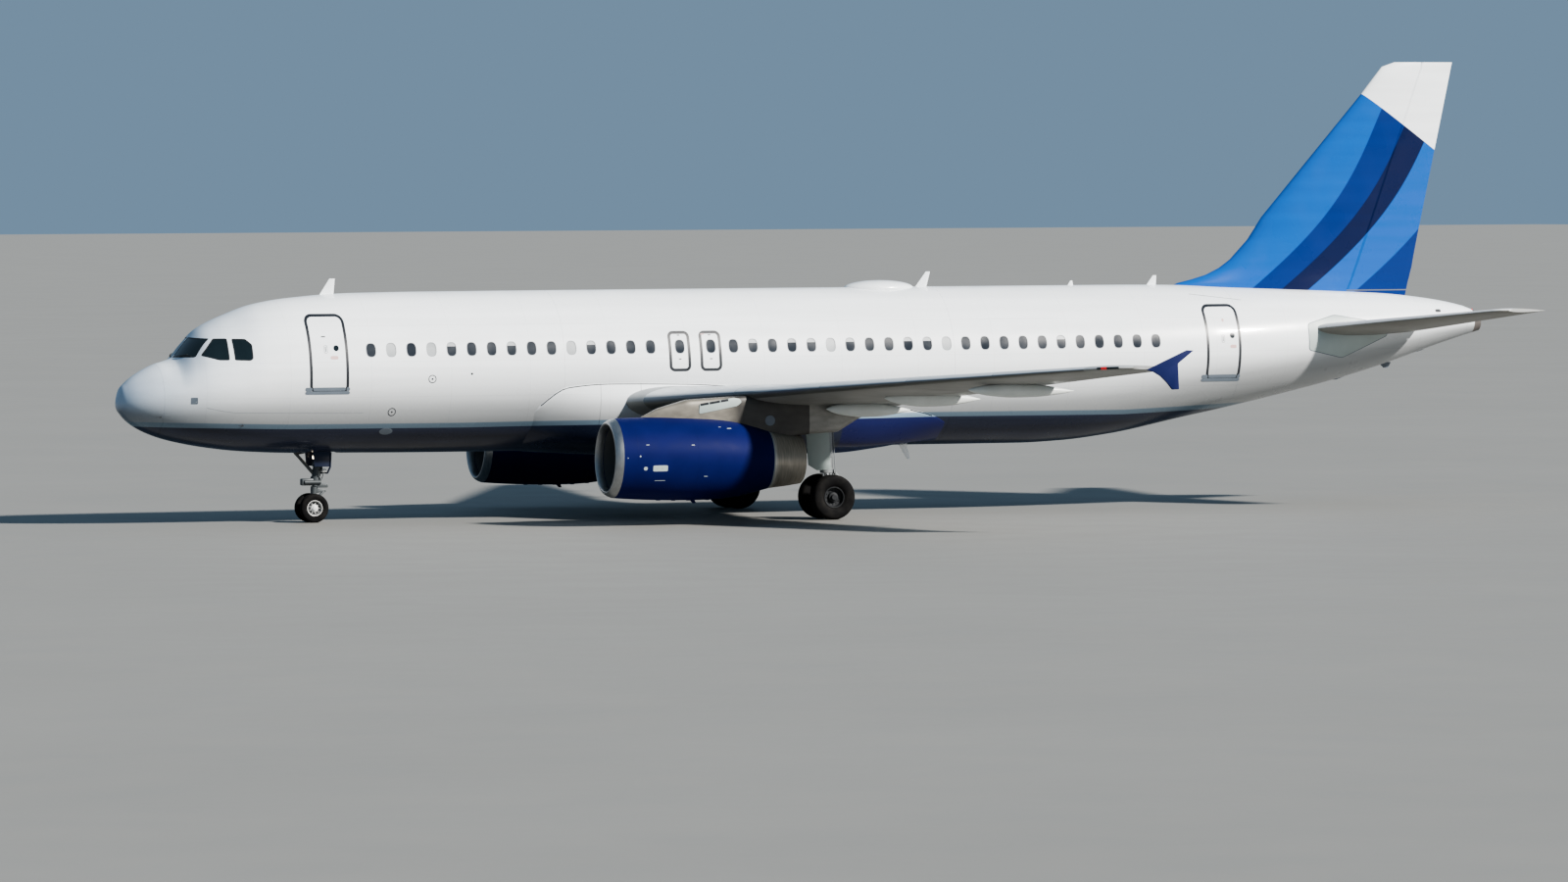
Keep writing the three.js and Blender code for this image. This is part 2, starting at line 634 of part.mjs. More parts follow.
// The belly fairing swells out of the fuselage below its upper edge.
function fairingRing({ station, edge, side, corner, keel }, grow) {
  const { top, keel: low, halfWidth, waist } = rowAt(FUSELAGE_SECTIONS, 'station', station);
  const edgeAngle = 90 - THREE.MathUtils.radToDeg(Math.asin((waist - edge) / (waist - low)));
  const shoulder = mix(corner, side, 0.4);
  const swell = [
    [0, keel],
    [0.28, keel],
    [0.5, corner],
    [0.68, shoulder],
    [0.84, side],
    [1, Math.min(side, EDGE_STEP)],
    [1.08, FAIRING_INSIDE],
  ].map(([share, out]) => [share * edgeAngle, out]);
  const half = [...swell, ...[115, 140, 165].map((angle) => [angle, FAIRING_INSIDE])];
  const points = [...half, ...half.slice(1).reverse().map(([angle, out]) => [-angle, out])];
  return points.map(([angle, out]) => {
    const turn = THREE.MathUtils.degToRad(angle);
    const rise = Math.abs(angle) > 90 ? top - waist : waist - low;
    const y = (halfWidth + out + grow) * Math.sin(turn);
    return [atStation(station), y, waist - (rise + out + grow) * Math.cos(turn)];
  });
}

function fairingBody(grow = 0) {
  return solid(loft(FAIRING_SECTIONS.map((row) => fairingRing(row, grow))));
}

// Flying surfaces: built with their chord along X, their span along Y and their thickness along Z.

const CHORD_STATIONS = [1, 0.75, 0.5, 0.26, 0.09, 0.02];

function aerofoil(thickness, camber) {
  const halfDepth = (x) => 5 * thickness * (
    0.2969 * Math.sqrt(x) - 0.126 * x - 0.3516 * x ** 2 + 0.2843 * x ** 3 - 0.1036 * x ** 4
  );
  const middle = (x) => 4 * camber * x * (1 - x);
  const upper = CHORD_STATIONS.map((x) => [x, middle(x) + halfDepth(x)]);
  const lower = CHORD_STATIONS.slice(1).reverse().map((x) => [x, middle(x) - halfDepth(x)]);
  return [...upper, [0, 0], ...lower];
}

// A point of a flying surface at a span, a share of its chord and a height over its chord line.
function onSurface(row, share, rise) {
  const angle = THREE.MathUtils.degToRad(row.incidence);
  const x = atStation(row.leading) + row.chord * (share * Math.cos(angle) + rise * Math.sin(angle));
  const z = row.height + row.chord * (rise * Math.cos(angle) - share * Math.sin(angle));
  return [x, row.span, z];
}

function surfaceBody(rows, camber, grow = 0) {
  return solid(loft(rows.map((row) => aerofoil(row.thickness, camber).map(([share, rise]) => {
    const ends = share === 0 ? -1 : Number(share === 1);
    const [x, y, z] = onSurface(row, share, rise);
    return [x + ends * grow, y, z + Math.sign(rise) * grow];
  }))));
}

// The middle and the half depth of a surface where a straight hinge line crosses a span.
function hingeAt(rows, camber, line, span) {
  const row = rowAt(rows, 'span', span);
  const share = (lineAt(line, span) - row.leading) / row.chord;
  const section = aerofoil(row.thickness, camber).slice(0, CHORD_STATIONS.length).reverse();
  const depth = lineAt(section, share);
  const middle = 4 * camber * share * (1 - share);
  return { point: onSurface(row, share, middle), radius: (depth - middle) * row.chord };
}

function planPrism(outline) {
  return prism(outline.map(([span, station]) => [atStation(station), span]), 'z', -FAR, FAR);
}

// The plan of a control surface, from its hinge line to beyond the trailing edge.
function behindHinge(line, inner, outer) {
  const behind = lineAt(line, outer) + BEHIND_WING;
  const front = [inner, outer].map((span) => [span, lineAt(line, span)]);
  return planPrism([...front, [outer, behind], [inner, behind]]);
}

function spanSlab(inner, outer) {
  return prism([[-FAR, inner], [FAR, inner], [FAR, outer], [-FAR, outer]], 'z', -FAR, FAR);
}

// A bar along the straight hinge line, as deep as the surface all along and longer than the control.
function hingeBar(rows, camber, line, ends, scale, extra) {
  const [start, stop] = ends.map((end) => new THREE.Vector3(...end.point));
  const between = rows.map((row) => row.span).filter((span) => span > start.y + 1 && span < stop.y - 1);
  const stops = [start.y, ...between, stop.y].map((span) => ({
    point: start.clone().lerp(stop, (span - start.y) / (stop.y - start.y)),
    radius: hingeAt(rows, camber, line, span).radius * scale + extra,
  }));
  const beyond = stop.clone().sub(start).normalize().multiplyScalar(HINGE_BAR_BEYOND);
  stops[0].point.sub(beyond);
  stops.at(-1).point.add(beyond);
  return joined(...stops.slice(1).map((to, i) => {
    const from = stops[i];
    return rod(from.point.toArray(), to.point.toArray(), from.radius, to.radius, HINGE_SIDES);
  }));
}

// A square bar that runs back from a point along a level direction.
function hingeArm(point, along, reach, width, height) {
  const forward = new THREE.Vector3(-along.y, along.x, 0).normalize();
  const up = new THREE.Vector3().crossVectors(forward, along).normalize();
  const geometry = new THREE.BoxGeometry(reach, width, height).translate(reach / 2, 0, 0);
  geometry.applyMatrix4(new THREE.Matrix4().makeBasis(forward, along, up)).translate(...point);
  return solid(geometry);
}

// A hinge at one span: a lug on the fixed surface, and a pin across a slot in the moving one.
function hingeSet({ point, radius }, along) {
  const across = (width) => [-1, 1].map((end) => {
    return new THREE.Vector3(...point).addScaledVector(along, (end * width) / 2).toArray();
  });
  const disc = (width, size) => rod(...across(width), size, size, HINGE_PIN_SIDES);
  const hole = bore(...across(4 * HINGE_LUG_WIDTH), HINGE_PIN, HINGE_PIN_SIDES);
  const arm = hingeArm(point, along, radius + 4 * COVE_GAP, HINGE_LUG_WIDTH, 0.7 * radius);
  return {
    lug: cut(joined(disc(HINGE_LUG_WIDTH, 0.5 * radius), arm), hole),
    slot: disc(HINGE_SLOT_WIDTH, 1.2 * radius),
    pin: disc(HINGE_PIN_LENGTH, HINGE_PIN),
  };
}

// Splits a control surface off a fixed surface, with a round nose in a round cove and hinges.
function splitControl(rows, camber, line, { inner, outer, endGap, hinges }) {
  const whole = surfaceBody(rows, camber);
  const ends = [inner, Math.min(outer, rows.at(-1).span)].map((span) => hingeAt(rows, camber, line, span));
  const along = new THREE.Vector3(...ends[1].point).sub(new THREE.Vector3(...ends[0].point)).normalize();
  const sets = hinges.map((span) => hingeSet(hingeAt(rows, camber, line, span), along));
  const bar = (scale, extra) => hingeBar(rows, camber, line, ends, scale, extra);
  const nose = bar(0.97, 0).intersect(spanSlab(inner + endGap, outer - endGap));
  const cove = bar(1 / Math.cos(Math.PI / HINGE_SIDES), COVE_GAP).intersect(spanSlab(inner, outer));
  const tail = whole.intersect(behindHinge(line, inner + endGap, outer - endGap));
  const fixed = cut(whole, behindHinge(line, inner, outer), cove);
  const moving = cut(joined(nose, tail), ...sets.map((set) => set.slot));
  return {
    fixed: joined(fixed, ...sets.map((set) => set.lug)),
    moving: joined(moving, ...sets.map((set) => set.pin)),
  };
}

// Wing

function slatCutter(margin) {
  const [inner, outer] = [SLAT.inner + margin, SLAT.outer - margin];
  const between = WING_SECTIONS.map((row) => row.span).filter((span) => span > inner && span < outer);
  const spans = [inner, ...between, outer];
  return solid(loft(spans.map((span) => {
    const row = rowAt(WING_SECTIONS, 'span', span);
    const shrink = margin / row.chord;
    return SLAT_CUT.map(([share, rise]) => onSurface(row, share - shrink, rise));
  })));
}

function flapPlan(inner, outer, margin) {
  const line = FLAP_FRONT.filter(([span]) => span > inner && span < outer);
  const front = [[inner, lineAt(FLAP_FRONT, inner)], ...line, [outer, lineAt(FLAP_FRONT, outer)]];
  const edge = front.map(([span, station]) => [span, station + margin]);
  const behind = FLAP_FRONT.at(-1)[1] + BEHIND_WING;
  return planPrism([...edge, [outer, behind], [inner, behind]]);
}

function canoe({ span, front, rear, axis, halfWidth, halfHeight }) {
  return solid(loft(CANOE_SIZES.map(([share, size]) => Array.from({ length: ROD_SIDES }, (_, side) => {
    const angle = (2 * Math.PI * side) / ROD_SIDES;
    const middle = axis - CANOE_DROP * share;
    const y = span + halfWidth * size * Math.cos(angle);
    return [atStation(mix(front, rear, share)), y, middle + halfHeight * size * Math.sin(angle)];
  }))));
}

function buildWing() {
  const grown = surfaceBody(WING_SECTIONS, WING_CAMBER, GAP);
  const fairing = fairingBody(GAP);
  const hull = fuselage(...HULL_ALONG_WING, GAP);
  const aileronLine = [AILERON.inner, AILERON.outer].map((span) => {
    const row = rowAt(WING_SECTIONS, 'span', span);
    return [span, row.leading + AILERON.fraction * row.chord];
  });
  const split = splitControl(WING_SECTIONS, WING_CAMBER, aileronLine, AILERON);
  const legTop = mainLegPocket();
  const flaps = flapPlan(WING_SECTIONS[0].span - BESIDE, FLAP_END, 0);
  const main = cut(split.fixed, hull, fairing, slatCutter(0), flaps, legTop);
  addPair('wing', joined(main, wingPad()), GREY, 0.4, 0.4);
  addPair('aileron', split.moving, GREY, 0.3, 0.4);
  const whole = surfaceBody(WING_SECTIONS, WING_CAMBER);
  addPair('slats', whole.intersect(slatCutter(2 * GAP)), METAL, 0.7, 0.35);
  const ahead = cut(grown, flapPlan(0, FLAP_END, GAP));
  const [inner, ...outer] = FLAP_CANOES.map((row) => cut(canoe(row), ahead));
  const inboard = cut(whole.intersect(flapPlan(FLAP_FRONT[0][0], FLAP_SPLIT - GAP, GAP)), hull, fairing);
  const outboard = whole.intersect(flapPlan(FLAP_SPLIT, FLAP_END - GAP, GAP));
  addPair('flap_inboard', joined(inboard, inner), PALE, 0.2, 0.4);
  addPair('flap_outboard', joined(outboard, ...outer), PALE, 0.2, 0.4);
  const tip = WING_SECTIONS.at(-1).span + GAP;
  const fence = prism(FENCE.map(([station, z]) => [atStation(station), z]), 'y', tip, HALF_SPAN);
  addPair('wingtip_fence', fence, NAVY, 0.2, 0.3);
  add('belly_fairing', cut(fairingBody(), hull), NAVY, 0.2, 0.35);
}

function wingPad() {
  const row = rowAt(WING_SECTIONS, 'span', JACK_PAD.wingSpan);
  const [x, y, z] = onSurface(row, (JACK_PAD.wingStation - row.leading) / row.chord, 0);
  return rod([x, y, z], [x, y, z - JACK_PAD.wingReach], JACK_PAD.radius);
}

// Tail

function buildTail() {
  const hull = (grow) => fuselage(TAIL_ROOT_START, LENGTH, grow);
  const fin = splitControl(FIN_SECTIONS, 0, RUDDER_HINGE, RUDDER);
  const upright = new THREE.Matrix4().makeRotationX(Math.PI / 2);
  add('fin', cut(moved(fin.fixed, upright), hull(GAP)), ROYAL, 0.2, 0.35);
  add('rudder', cut(moved(fin.moving, upright), hull(RUDDER_CLEARANCE)), ROYAL, 0.2, 0.35);
  const plane = splitControl(TAILPLANE_SECTIONS, 0, ELEVATOR_HINGE, ELEVATOR);
  addPair('stabiliser', cut(plane.fixed, hull(GAP)), PALE, 0.3, 0.4);
  addPair('elevator', cut(plane.moving, hull(ELEVATOR_CLEARANCE)), PALE, 0.3, 0.4);
}

// Engines

function engineMatrix(side) {
  const turn = new THREE.Matrix4().makeRotationY(THREE.MathUtils.degToRad(ENGINE.tilt));
  return turn.setPosition(atStation(ENGINE.station), side * ENGINE.span, ENGINE.height);
}

function fanBlade(angle) {
  const axis = new THREE.Vector3(1, 0, 0);
  const corners = [[-0.5, 0], [0, 0.5], [0.5, 0], [0, -0.5]];
  return solid(loft([FAN_ROOT, FAN_TIP].map(({ radius, chord, stagger, fullness }) => {
    const turn = THREE.MathUtils.degToRad(stagger);
    return corners.map(([along, thick]) => {
      const [a, t] = [along * chord, thick * fullness * FAN.thickness];
      const x = FAN.centre + a * Math.cos(turn) - t * Math.sin(turn);
      const across = a * Math.sin(turn) + t * Math.cos(turn);
      return new THREE.Vector3(x, across, radius).applyAxisAngle(axis, angle).toArray();
    });
  })));
}

function fanBody() {
  const end = SPINNER.at(-1)[0];
  const start = SHAFT_START - SHAFT_CLEARANCE;
  const hub = turned([...SPINNER, [end, SHAFT_BORE], [start, SHAFT_BORE], [start, 0]], HUB_SIDES);
  const blades = Array.from({ length: FAN.blades }, (_, i) => fanBlade((2 * Math.PI * i) / FAN.blades));
  return joined(hub, ...blades);
}

function engineCore() {
  const shaft = SHAFT_BORE * Math.cos(Math.PI / HUB_SIDES) - RUNNING_GAP;
  const front = [[SHAFT_START, 0], [SHAFT_START, shaft], [CORE[0][0], shaft]];
  const body = turned([...front, ...CORE, [CORE_END, 0]], CORE_SIDES);
  const wall = DUCT.map(([x, radius]) => [x, radius - GAP]);
  const duct = turned([[DUCT[0][0], 0], ...wall, [DUCT.at(-1)[0], 0]], ENGINE_SIDES);
  const half = STRUTS.thickness / 2;
  const outline = [[STRUTS.front, -half], [STRUTS.rear, -half], [STRUTS.rear, half], [STRUTS.front, half]];
  const struts = Array.from({ length: STRUTS.count }, (_, i) => {
    const angle = (2 * Math.PI * (i + 0.5)) / STRUTS.count;
    const turn = new THREE.Matrix4().makeRotationX(angle);
    return moved(prism(outline, 'z', STRUTS.from, STRUTS.to), turn).intersect(duct);
  });
  return joined(body, ...struts);
}

function nacelleRing(profile) {
  return turned([...profile, profile[0]], ENGINE_SIDES);
}

function buildEngine(side, name) {
  const group = new THREE.Group();
  group.applyMatrix4(engineMatrix(side));
  airliner.add(group);
  const back = ([x, r]) => [x - GAP, r];
  const lip = [...LIP_OUTER.slice(0, -1), back(LIP_OUTER.at(-1)), back(LIP_INNER[0]), ...LIP_INNER.slice(1)];
  add(`inlet_lip_${name}`, nacelleRing(lip), METAL, 0.9, 0.2, group);
  add(`engine_cowl_${name}`, nacelleRing([...COWL_OUTER, ...COWL_INNER]), ROYAL, 0.2, 0.3, group);
  const ahead = ([x, r]) => [x + GAP, r];
  const nozzle = [ahead(NOZZLE_OUTER[0]), NOZZLE_OUTER[1], NOZZLE_INNER[0], ahead(NOZZLE_INNER[1])];
  add(`nozzle_${name}`, nacelleRing(nozzle), BRONZE, 0.8, 0.4, group);
  add(`fan_${name}`, fanBody(), METAL, 0.7, 0.4, group);
  add(`engine_core_${name}`, engineCore(), BRONZE, 0.6, 0.5, group);
}

function buildPylons() {
  const outline = PYLON_SIDE.map(([station, z]) => [atStation(station), z]);
  const side = prism(outline, 'y', ENGINE.span - PYLON_HALF_WIDTH, ENGINE.span + PYLON_HALF_WIDTH);
  const half = PYLON_PLAN.map(([station, share]) => [atStation(station), share * PYLON_HALF_WIDTH]);
  const mirror = half.slice(1).reverse().map(([x, y]) => [x, -y]);
  const plan = prism([...half, ...mirror].map(([x, y]) => [x, y + ENGINE.span]), 'z', 0, FAR);
  const outer = [...LIP_OUTER, ...COWL_OUTER.slice(1), NOZZLE_OUTER[1]].map(([x, r]) => [x, r + GAP]);
  const nacelle = moved(turned([[LIP_FRONT, 0], ...outer, [NOZZLE_END, 0]], ENGINE_SIDES), engineMatrix(1));
  const wing = surfaceBody(WING_SECTIONS, WING_CAMBER, GAP);
  addPair('pylon', cut(side.intersect(plan), nacelle, wing), GREY, 0.3, 0.45);
}

// Landing gear

function wheelDisc({ rim, width, spacing, axle }) {
  const [boss, reach] = [BOSS.radius * axle, BOSS.reach * width];
  const face = DISC.map(([across, radius]) => [across * width, radius * rim]);
  const disc = turned([[-reach, 0], [-reach, boss], ...face, [reach, boss], [reach, 0]], WHEEL_SIDES);
  return moved(disc, new THREE.Matrix4().makeRotationZ(Math.PI / 2).setPosition(0, spacing / 2, 0));
}

// Both wheels of a leg on the axle that joins them, about the origin.
function wheelPair(wheel) {
  const right = wheelDisc(wheel);
  const reach = wheel.spacing / 2;
  const axle = rod([0, -reach, 0], [0, reach, 0], wheel.axle, wheel.axle, WHEEL_SIDES);
  return joined(right, mirrored(right), axle);
}

function tyre({ radius, width, rim, spacing }, side) {
  const inner = rim + GAP;
  const wall = radius / Math.cos(Math.PI / WHEEL_SIDES) - inner;
  const half = TYRE.map(([across, share]) => [across * width, inner + share * wall]);
  const profile = [...half, ...half.slice().reverse().map(([x, r]) => [-x, r])];
  const ring = turned([...profile, profile[0]], WHEEL_SIDES);
  return moved(ring, new THREE.Matrix4().makeRotationZ(Math.PI / 2).setPosition(0, (side * spacing) / 2, 0));
}

function addWheels(names, wheel, side, color) {
  const group = new THREE.Group();
  group.position.set(atStation(wheel.station), side, wheel.radius);
  airliner.add(group);
  add(names.wheels, wheelPair(wheel), color, 0.5, 0.5, group);
  add(`${names.tyre}_left`, tyre(wheel, -1), RUBBER, 0, 0.9, group);
  add(`${names.tyre}_right`, tyre(wheel, 1), RUBBER, 0, 0.9, group);
}

// The leg's end: a sleeve that the axle turns in, bored through.
function axleSleeve(centre, axle, reach) {
  const [x, y, z] = centre;
  const outer = rod([x, y - reach, z], [x, y + reach, z], SLEEVE.radius * axle);
  return { outer, hole: bore([x, y - BESIDE, z], [x, y + BESIDE, z], axle, WHEEL_SIDES) };
}

function noseLegPoint(z) {
  const [station, top] = NOSE_LEG.top;
  const share = (z - NOSE_WHEEL.radius) / (top - NOSE_WHEEL.radius);
  return [atStation(mix(NOSE_WHEEL.station, station, share)), 0, z];
}

function noseDoors() {
  const { front, rear, rake, sill, head, thickness } = NOSE_DOOR;
  const outline = [[front, head], [rear, head], [rear - rake, sill], [front + rake, sill]];
  const placed = outline.map(([station, z]) => [atStation(station), z]);
  const from = NOSE_BAY.halfWidth + NOSE_DOOR.beside;
  const door = prism(placed, 'y', from, from + thickness);
  const [x, , z] = noseLegPoint((sill + head) / 2);
  const reach = from + thickness / 2;
  return joined(door, mirrored(door), rod([x, -reach, z], [x, reach, z], NOSE_DOOR.link));
}

// The steering's jacks, ahead of the leg and behind it.
function noseSteering() {
  return NOSE_STEERING.map(({ front, rear, low, high, halfWidth }) => {
    const [from, to] = [atStation(front), atStation(rear)];
    return prism([[from, low], [to, low], [to, high], [from, high]], 'y', -halfWidth, halfWidth);
  });
}

function noseLamps() {
  const { heights, front, glass, rim } = NOSE_LAMPS;
  return joined(...heights.map((height) => {
    const [x, , z] = noseLegPoint(height);
    return rod([x - front, 0, z], [x, 0, z], glass, rim);
  }));
}

function buildNoseGear() {
  const { radius, piston, split, overlap, boreEnd } = NOSE_LEG;
  const hull = fuselage(RADOME_END, FORWARD_END, GAP).subtract(noseBay());
  const bayTop = NOSE_BAY.roof - GAP;
  const braces = NOSE_BRACES.map((brace) => {
    return rod(noseLegPoint(brace.from), [atStation(brace.station), 0, brace.height], brace.radius);
  });
  const casing = joined(
    rod(noseLegPoint(bayTop), noseLegPoint(split), radius),
    rod(noseLegPoint(NOSE_COLLAR.from), noseLegPoint(NOSE_COLLAR.to), NOSE_COLLAR.radius),
    ...braces,
    ...noseSteering(),
    noseDoors(),
    noseLamps(),
  );
  const boreTop = noseLegPoint(split + overlap + 20);
  const room = cut(casing, bore(boreTop, noseLegPoint(boreEnd), piston, ROD_SIDES));
  const above = prism([[-FAR, bayTop], [FAR, bayTop], [FAR, FAR], [-FAR, FAR]], 'y', -BESIDE, BESIDE);
  add('nose_gear_leg', cut(room, hull, above), METAL, 0.6, 0.4);
  const foot = noseLegPoint(NOSE_WHEEL.radius);
  const sleeve = axleSleeve(foot, NOSE_WHEEL.axle, SLEEVE.nose);
  const strut = rod(noseLegPoint(split + overlap), foot, piston);
  const steered = joined(strut, sleeve.outer, noseTorqueLink(), towFitting());
  add('nose_gear_steered', cut(steered, sleeve.hole), METAL, 0.8, 0.3);
  addWheels({ wheels: 'nose_wheels', tyre: 'nose_tyre' }, NOSE_WHEEL, 0, WHITE);
}

// The lower torque link stands behind the piston, and turns with it.
function noseTorqueLink() {
  const [[lowX, , lowZ], [highX, , highZ]] = [NOSE_LINK.low, NOSE_LINK.high].map(noseLegPoint);
  const knee = [lowX + NOSE_LINK.knee[0], lowZ + NOSE_LINK.knee[1]];
  const [wide, narrow] = NOSE_LINK.halfWidths;
  const lower = [[lowX + 40, lowZ - 45], [lowX + 20, lowZ + 45], [knee[0] - 20, knee[1] + 35], knee];
  const upper = [[highX + 30, highZ - 35], [highX + 30, highZ + 35], [knee[0], knee[1] + 45], knee];
  return joined(prism(lower, 'y', -wide, wide), prism(upper, 'y', -narrow, narrow));
}

function towFitting() {
  const { reach, halfHeight, halfWidth } = TOW_FITTING;
  const [x, , z] = noseLegPoint(NOSE_WHEEL.radius);
  const [low, high] = [z - halfHeight, z + halfHeight];
  return prism([[x - reach, low], [x, low], [x, high], [x - reach, high]], 'y', -halfWidth, halfWidth);
}

// A point beside the right main leg: its height, and how far it is aft and outboard of the leg.
function besideMainLeg(z, back = 0, across = 0) {
  return [atStation(MAIN_WHEEL.station) + back, TRACK / 2 + across, z];
}

// The pocket in the wing that the top of the leg stands in.
function mainLegPocket() {
  const { top, pocket, radius } = MAIN_LEG;
  return rod(besideMainLeg(top), besideMainLeg(top - pocket), radius + GAP);
}

function mainDoor() {
  const outline = MAIN_DOOR.outline.map(([station, z]) => [atStation(station), z]);
  const inner = TRACK / 2 + MAIN_DOOR.offset;
  return prism(outline, 'y', inner, inner + MAIN_DOOR.thickness);
}

function mainBrake(side) {
  const ends = [MAIN_BRAKE.inner, MAIN_BRAKE.outer];
  return rod(...ends.map((reach) => besideMainLeg(MAIN_WHEEL.radius, 0, side * reach)), MAIN_BRAKE.radius);
}

function mainTorqueLink() {
  const [x, y] = besideMainLeg(0);
  const outline = MAIN_LINK.outline.map(([back, z]) => [x + back, z]);
  return prism(outline, 'y', y - MAIN_LINK.halfWidth, y + MAIN_LINK.halfWidth);
}

function mainLeg() {
  const { top, split, overlap, radius, piston } = MAIN_LEG;
  const foot = besideMainLeg(MAIN_WHEEL.radius);
  const sleeve = axleSleeve(foot, MAIN_WHEEL.axle, SLEEVE.main);
  const bars = MAIN_BARS.map(({ from, to, back, across, radius: size }) => {
    return rod(besideMainLeg(from), besideMainLeg(to, back, across), size);
  });
  const leg = joined(
    rod(besideMainLeg(top - GAP), besideMainLeg(split), radius),
    rod(besideMainLeg(split + overlap), foot, piston),
    sleeve.outer,
    mainBrake(-1),
    mainBrake(1),
    mainTorqueLink(),
    mainDoor(),
    ...bars,
  );
  const wing = cut(surfaceBody(WING_SECTIONS, WING_CAMBER, GAP), mainLegPocket());
  return cut(leg, sleeve.hole, wing, fairingBody(GAP), fuselage(...HULL_ALONG_WING, GAP));
}

function buildMainGear() {
  addPair('main_gear_leg', mainLeg(), METAL, 0.6, 0.4);
  addWheels({ wheels: 'main_wheels_right', tyre: 'main_tyre_right' }, MAIN_WHEEL, TRACK / 2, NAVY);
  addWheels({ wheels: 'main_wheels_left', tyre: 'main_tyre_left' }, MAIN_WHEEL, -TRACK / 2, NAVY);
}

buildFuselage();
buildWing();
buildTail();
buildEngine(-1, 'left');
buildEngine(1, 'right');
buildPylons();
buildNoseGear();
buildMainGear();

export default airliner;
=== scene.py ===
# A twin-engined narrow-body airliner on its landing gear, dressed over its solid model.
# Lengths are metres: X runs aft from the middle of the length, Y to the right wing and Z up from the
# ground. Stations are distances aft of the nose tip.
import math

import bmesh
import bpy
import numpy as np
from mathutils import Matrix, Vector


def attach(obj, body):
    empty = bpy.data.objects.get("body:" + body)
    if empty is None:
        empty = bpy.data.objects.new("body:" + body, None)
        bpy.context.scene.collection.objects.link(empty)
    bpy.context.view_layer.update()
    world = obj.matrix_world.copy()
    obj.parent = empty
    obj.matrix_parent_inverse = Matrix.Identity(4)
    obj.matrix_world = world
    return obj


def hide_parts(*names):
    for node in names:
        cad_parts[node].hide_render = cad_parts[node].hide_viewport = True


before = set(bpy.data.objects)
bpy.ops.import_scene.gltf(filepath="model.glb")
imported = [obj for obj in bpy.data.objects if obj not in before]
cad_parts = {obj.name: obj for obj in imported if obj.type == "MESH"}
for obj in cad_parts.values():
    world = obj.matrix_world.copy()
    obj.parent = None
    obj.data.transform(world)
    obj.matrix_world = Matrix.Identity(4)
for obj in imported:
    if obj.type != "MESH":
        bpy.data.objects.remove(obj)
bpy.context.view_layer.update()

LENGTH = 37.57
AIRFRAME = "airframe"


SIDES = ((-1, "left"), (1, "right"))


def table(columns, rows):
    """Rows with named columns."""
    return [dict(zip(columns.split(), row)) for row in rows]


def x_at(station):
    """A station's place along X."""
    return station - LENGTH / 2


def placed(outline):
    """An outline of stations and heights, moved to its place along X."""
    return [(x_at(station), z) for station, z in outline]


# Fuselage sections: top and keel heights, half width, and the height of the widest point.
FUSELAGE = table("station top keel half_width waist", [
    (0, 3.085, 3.055, 0.012, 3.070),
    (0.03, 3.280, 2.930, 0.200, 3.090),
    (0.10, 3.490, 2.830, 0.360, 3.120),
    (0.22, 3.620, 2.690, 0.520, 3.140),
    (0.45, 3.800, 2.510, 0.740, 3.170),
    (1.00, 4.090, 2.250, 1.105, 3.240),
    (1.40, 4.220, 2.130, 1.310, 3.310),
    (1.78, 4.650, 2.045, 1.465, 3.380),
    (2.10, 4.970, 1.985, 1.575, 3.440),
    (2.46, 5.170, 1.930, 1.670, 3.500),
    (2.85, 5.335, 1.880, 1.752, 3.560),
    (3.53, 5.575, 1.825, 1.860, 3.660),
    (4.45, 5.730, 1.785, 1.935, 3.750),
    (6.20, 5.850, 1.765, 1.975, 3.805),
    (8.50, 5.870, 1.745, 1.975, 3.810),
    (24.30, 5.880, 1.740, 1.975, 3.810),
    (25.50, 5.880, 1.790, 1.970, 3.840),
    (26.90, 5.880, 1.950, 1.955, 3.930),
    (28.85, 5.860, 2.335, 1.895, 4.070),
    (30.00, 5.810, 2.560, 1.800, 4.160),
    (31.30, 5.760, 2.830, 1.635, 4.270),
    (33.50, 5.660, 3.340, 1.240, 4.480),
    (34.75, 5.590, 3.690, 0.985, 4.620),
    (35.80, 5.480, 4.030, 0.745, 4.740),
    (37.10, 5.235, 4.430, 0.405, 4.830),
    (37.57, 5.045, 4.560, 0.240, 4.810),
])
HULL_PIECES = table("node front rear", [
    ("radome", 0, 0.9985),
    ("forward_fuselage", 1.0015, 11.2985),
    ("centre_fuselage", 11.3015, 21.8985),
    ("aft_fuselage", 21.9015, 29.9985),
    ("tail_fuselage", 30.0015, 37.0985),
    ("apu_exhaust_cone", 37.1015, 37.57),
])
HULL_SIDES = 112
# Between these stations a height and a side offset are found on the skin by halving.
FRONT_SEARCH = {"from": 0.9, "to": 3.2, "halvings": 40}

PASSENGER_DOORS = table("node side front rear sill head port port_height", [
    ("door_forward_left", -1, 4.64, 5.51, 3.40, 5.27, 5.28, 4.48),
    ("door_forward_right", 1, 4.64, 5.51, 3.40, 5.27, 5.28, 4.48),
    ("door_aft_left", -1, 29.06, 29.92, 3.42, 5.29, 29.745, 4.54),
    ("door_aft_right", 1, 29.06, 29.92, 3.42, 5.29, 29.745, 4.54),
])
DOOR_CORNER = 0.14
CARGO_DOORS = table("node front rear sill hinge", [
    ("cargo_door_forward", 8.06, 9.88, 2.13, 3.34),
    ("cargo_door_aft", 22.62, 24.44, 2.13, 3.34),
])
CARGO_GAP = 0.007
CARGO_THICKNESS = 0.09
CARGO_KNUCKLE = 0.018
HOLD = {"depth": 1.3, "margin": 0.09, "wall": 0.006}
OVERWING_EXITS = table("front rear sill head", [
    (14.12, 14.67, 3.80, 4.80),
    (14.96, 15.51, 3.80, 4.80),
])

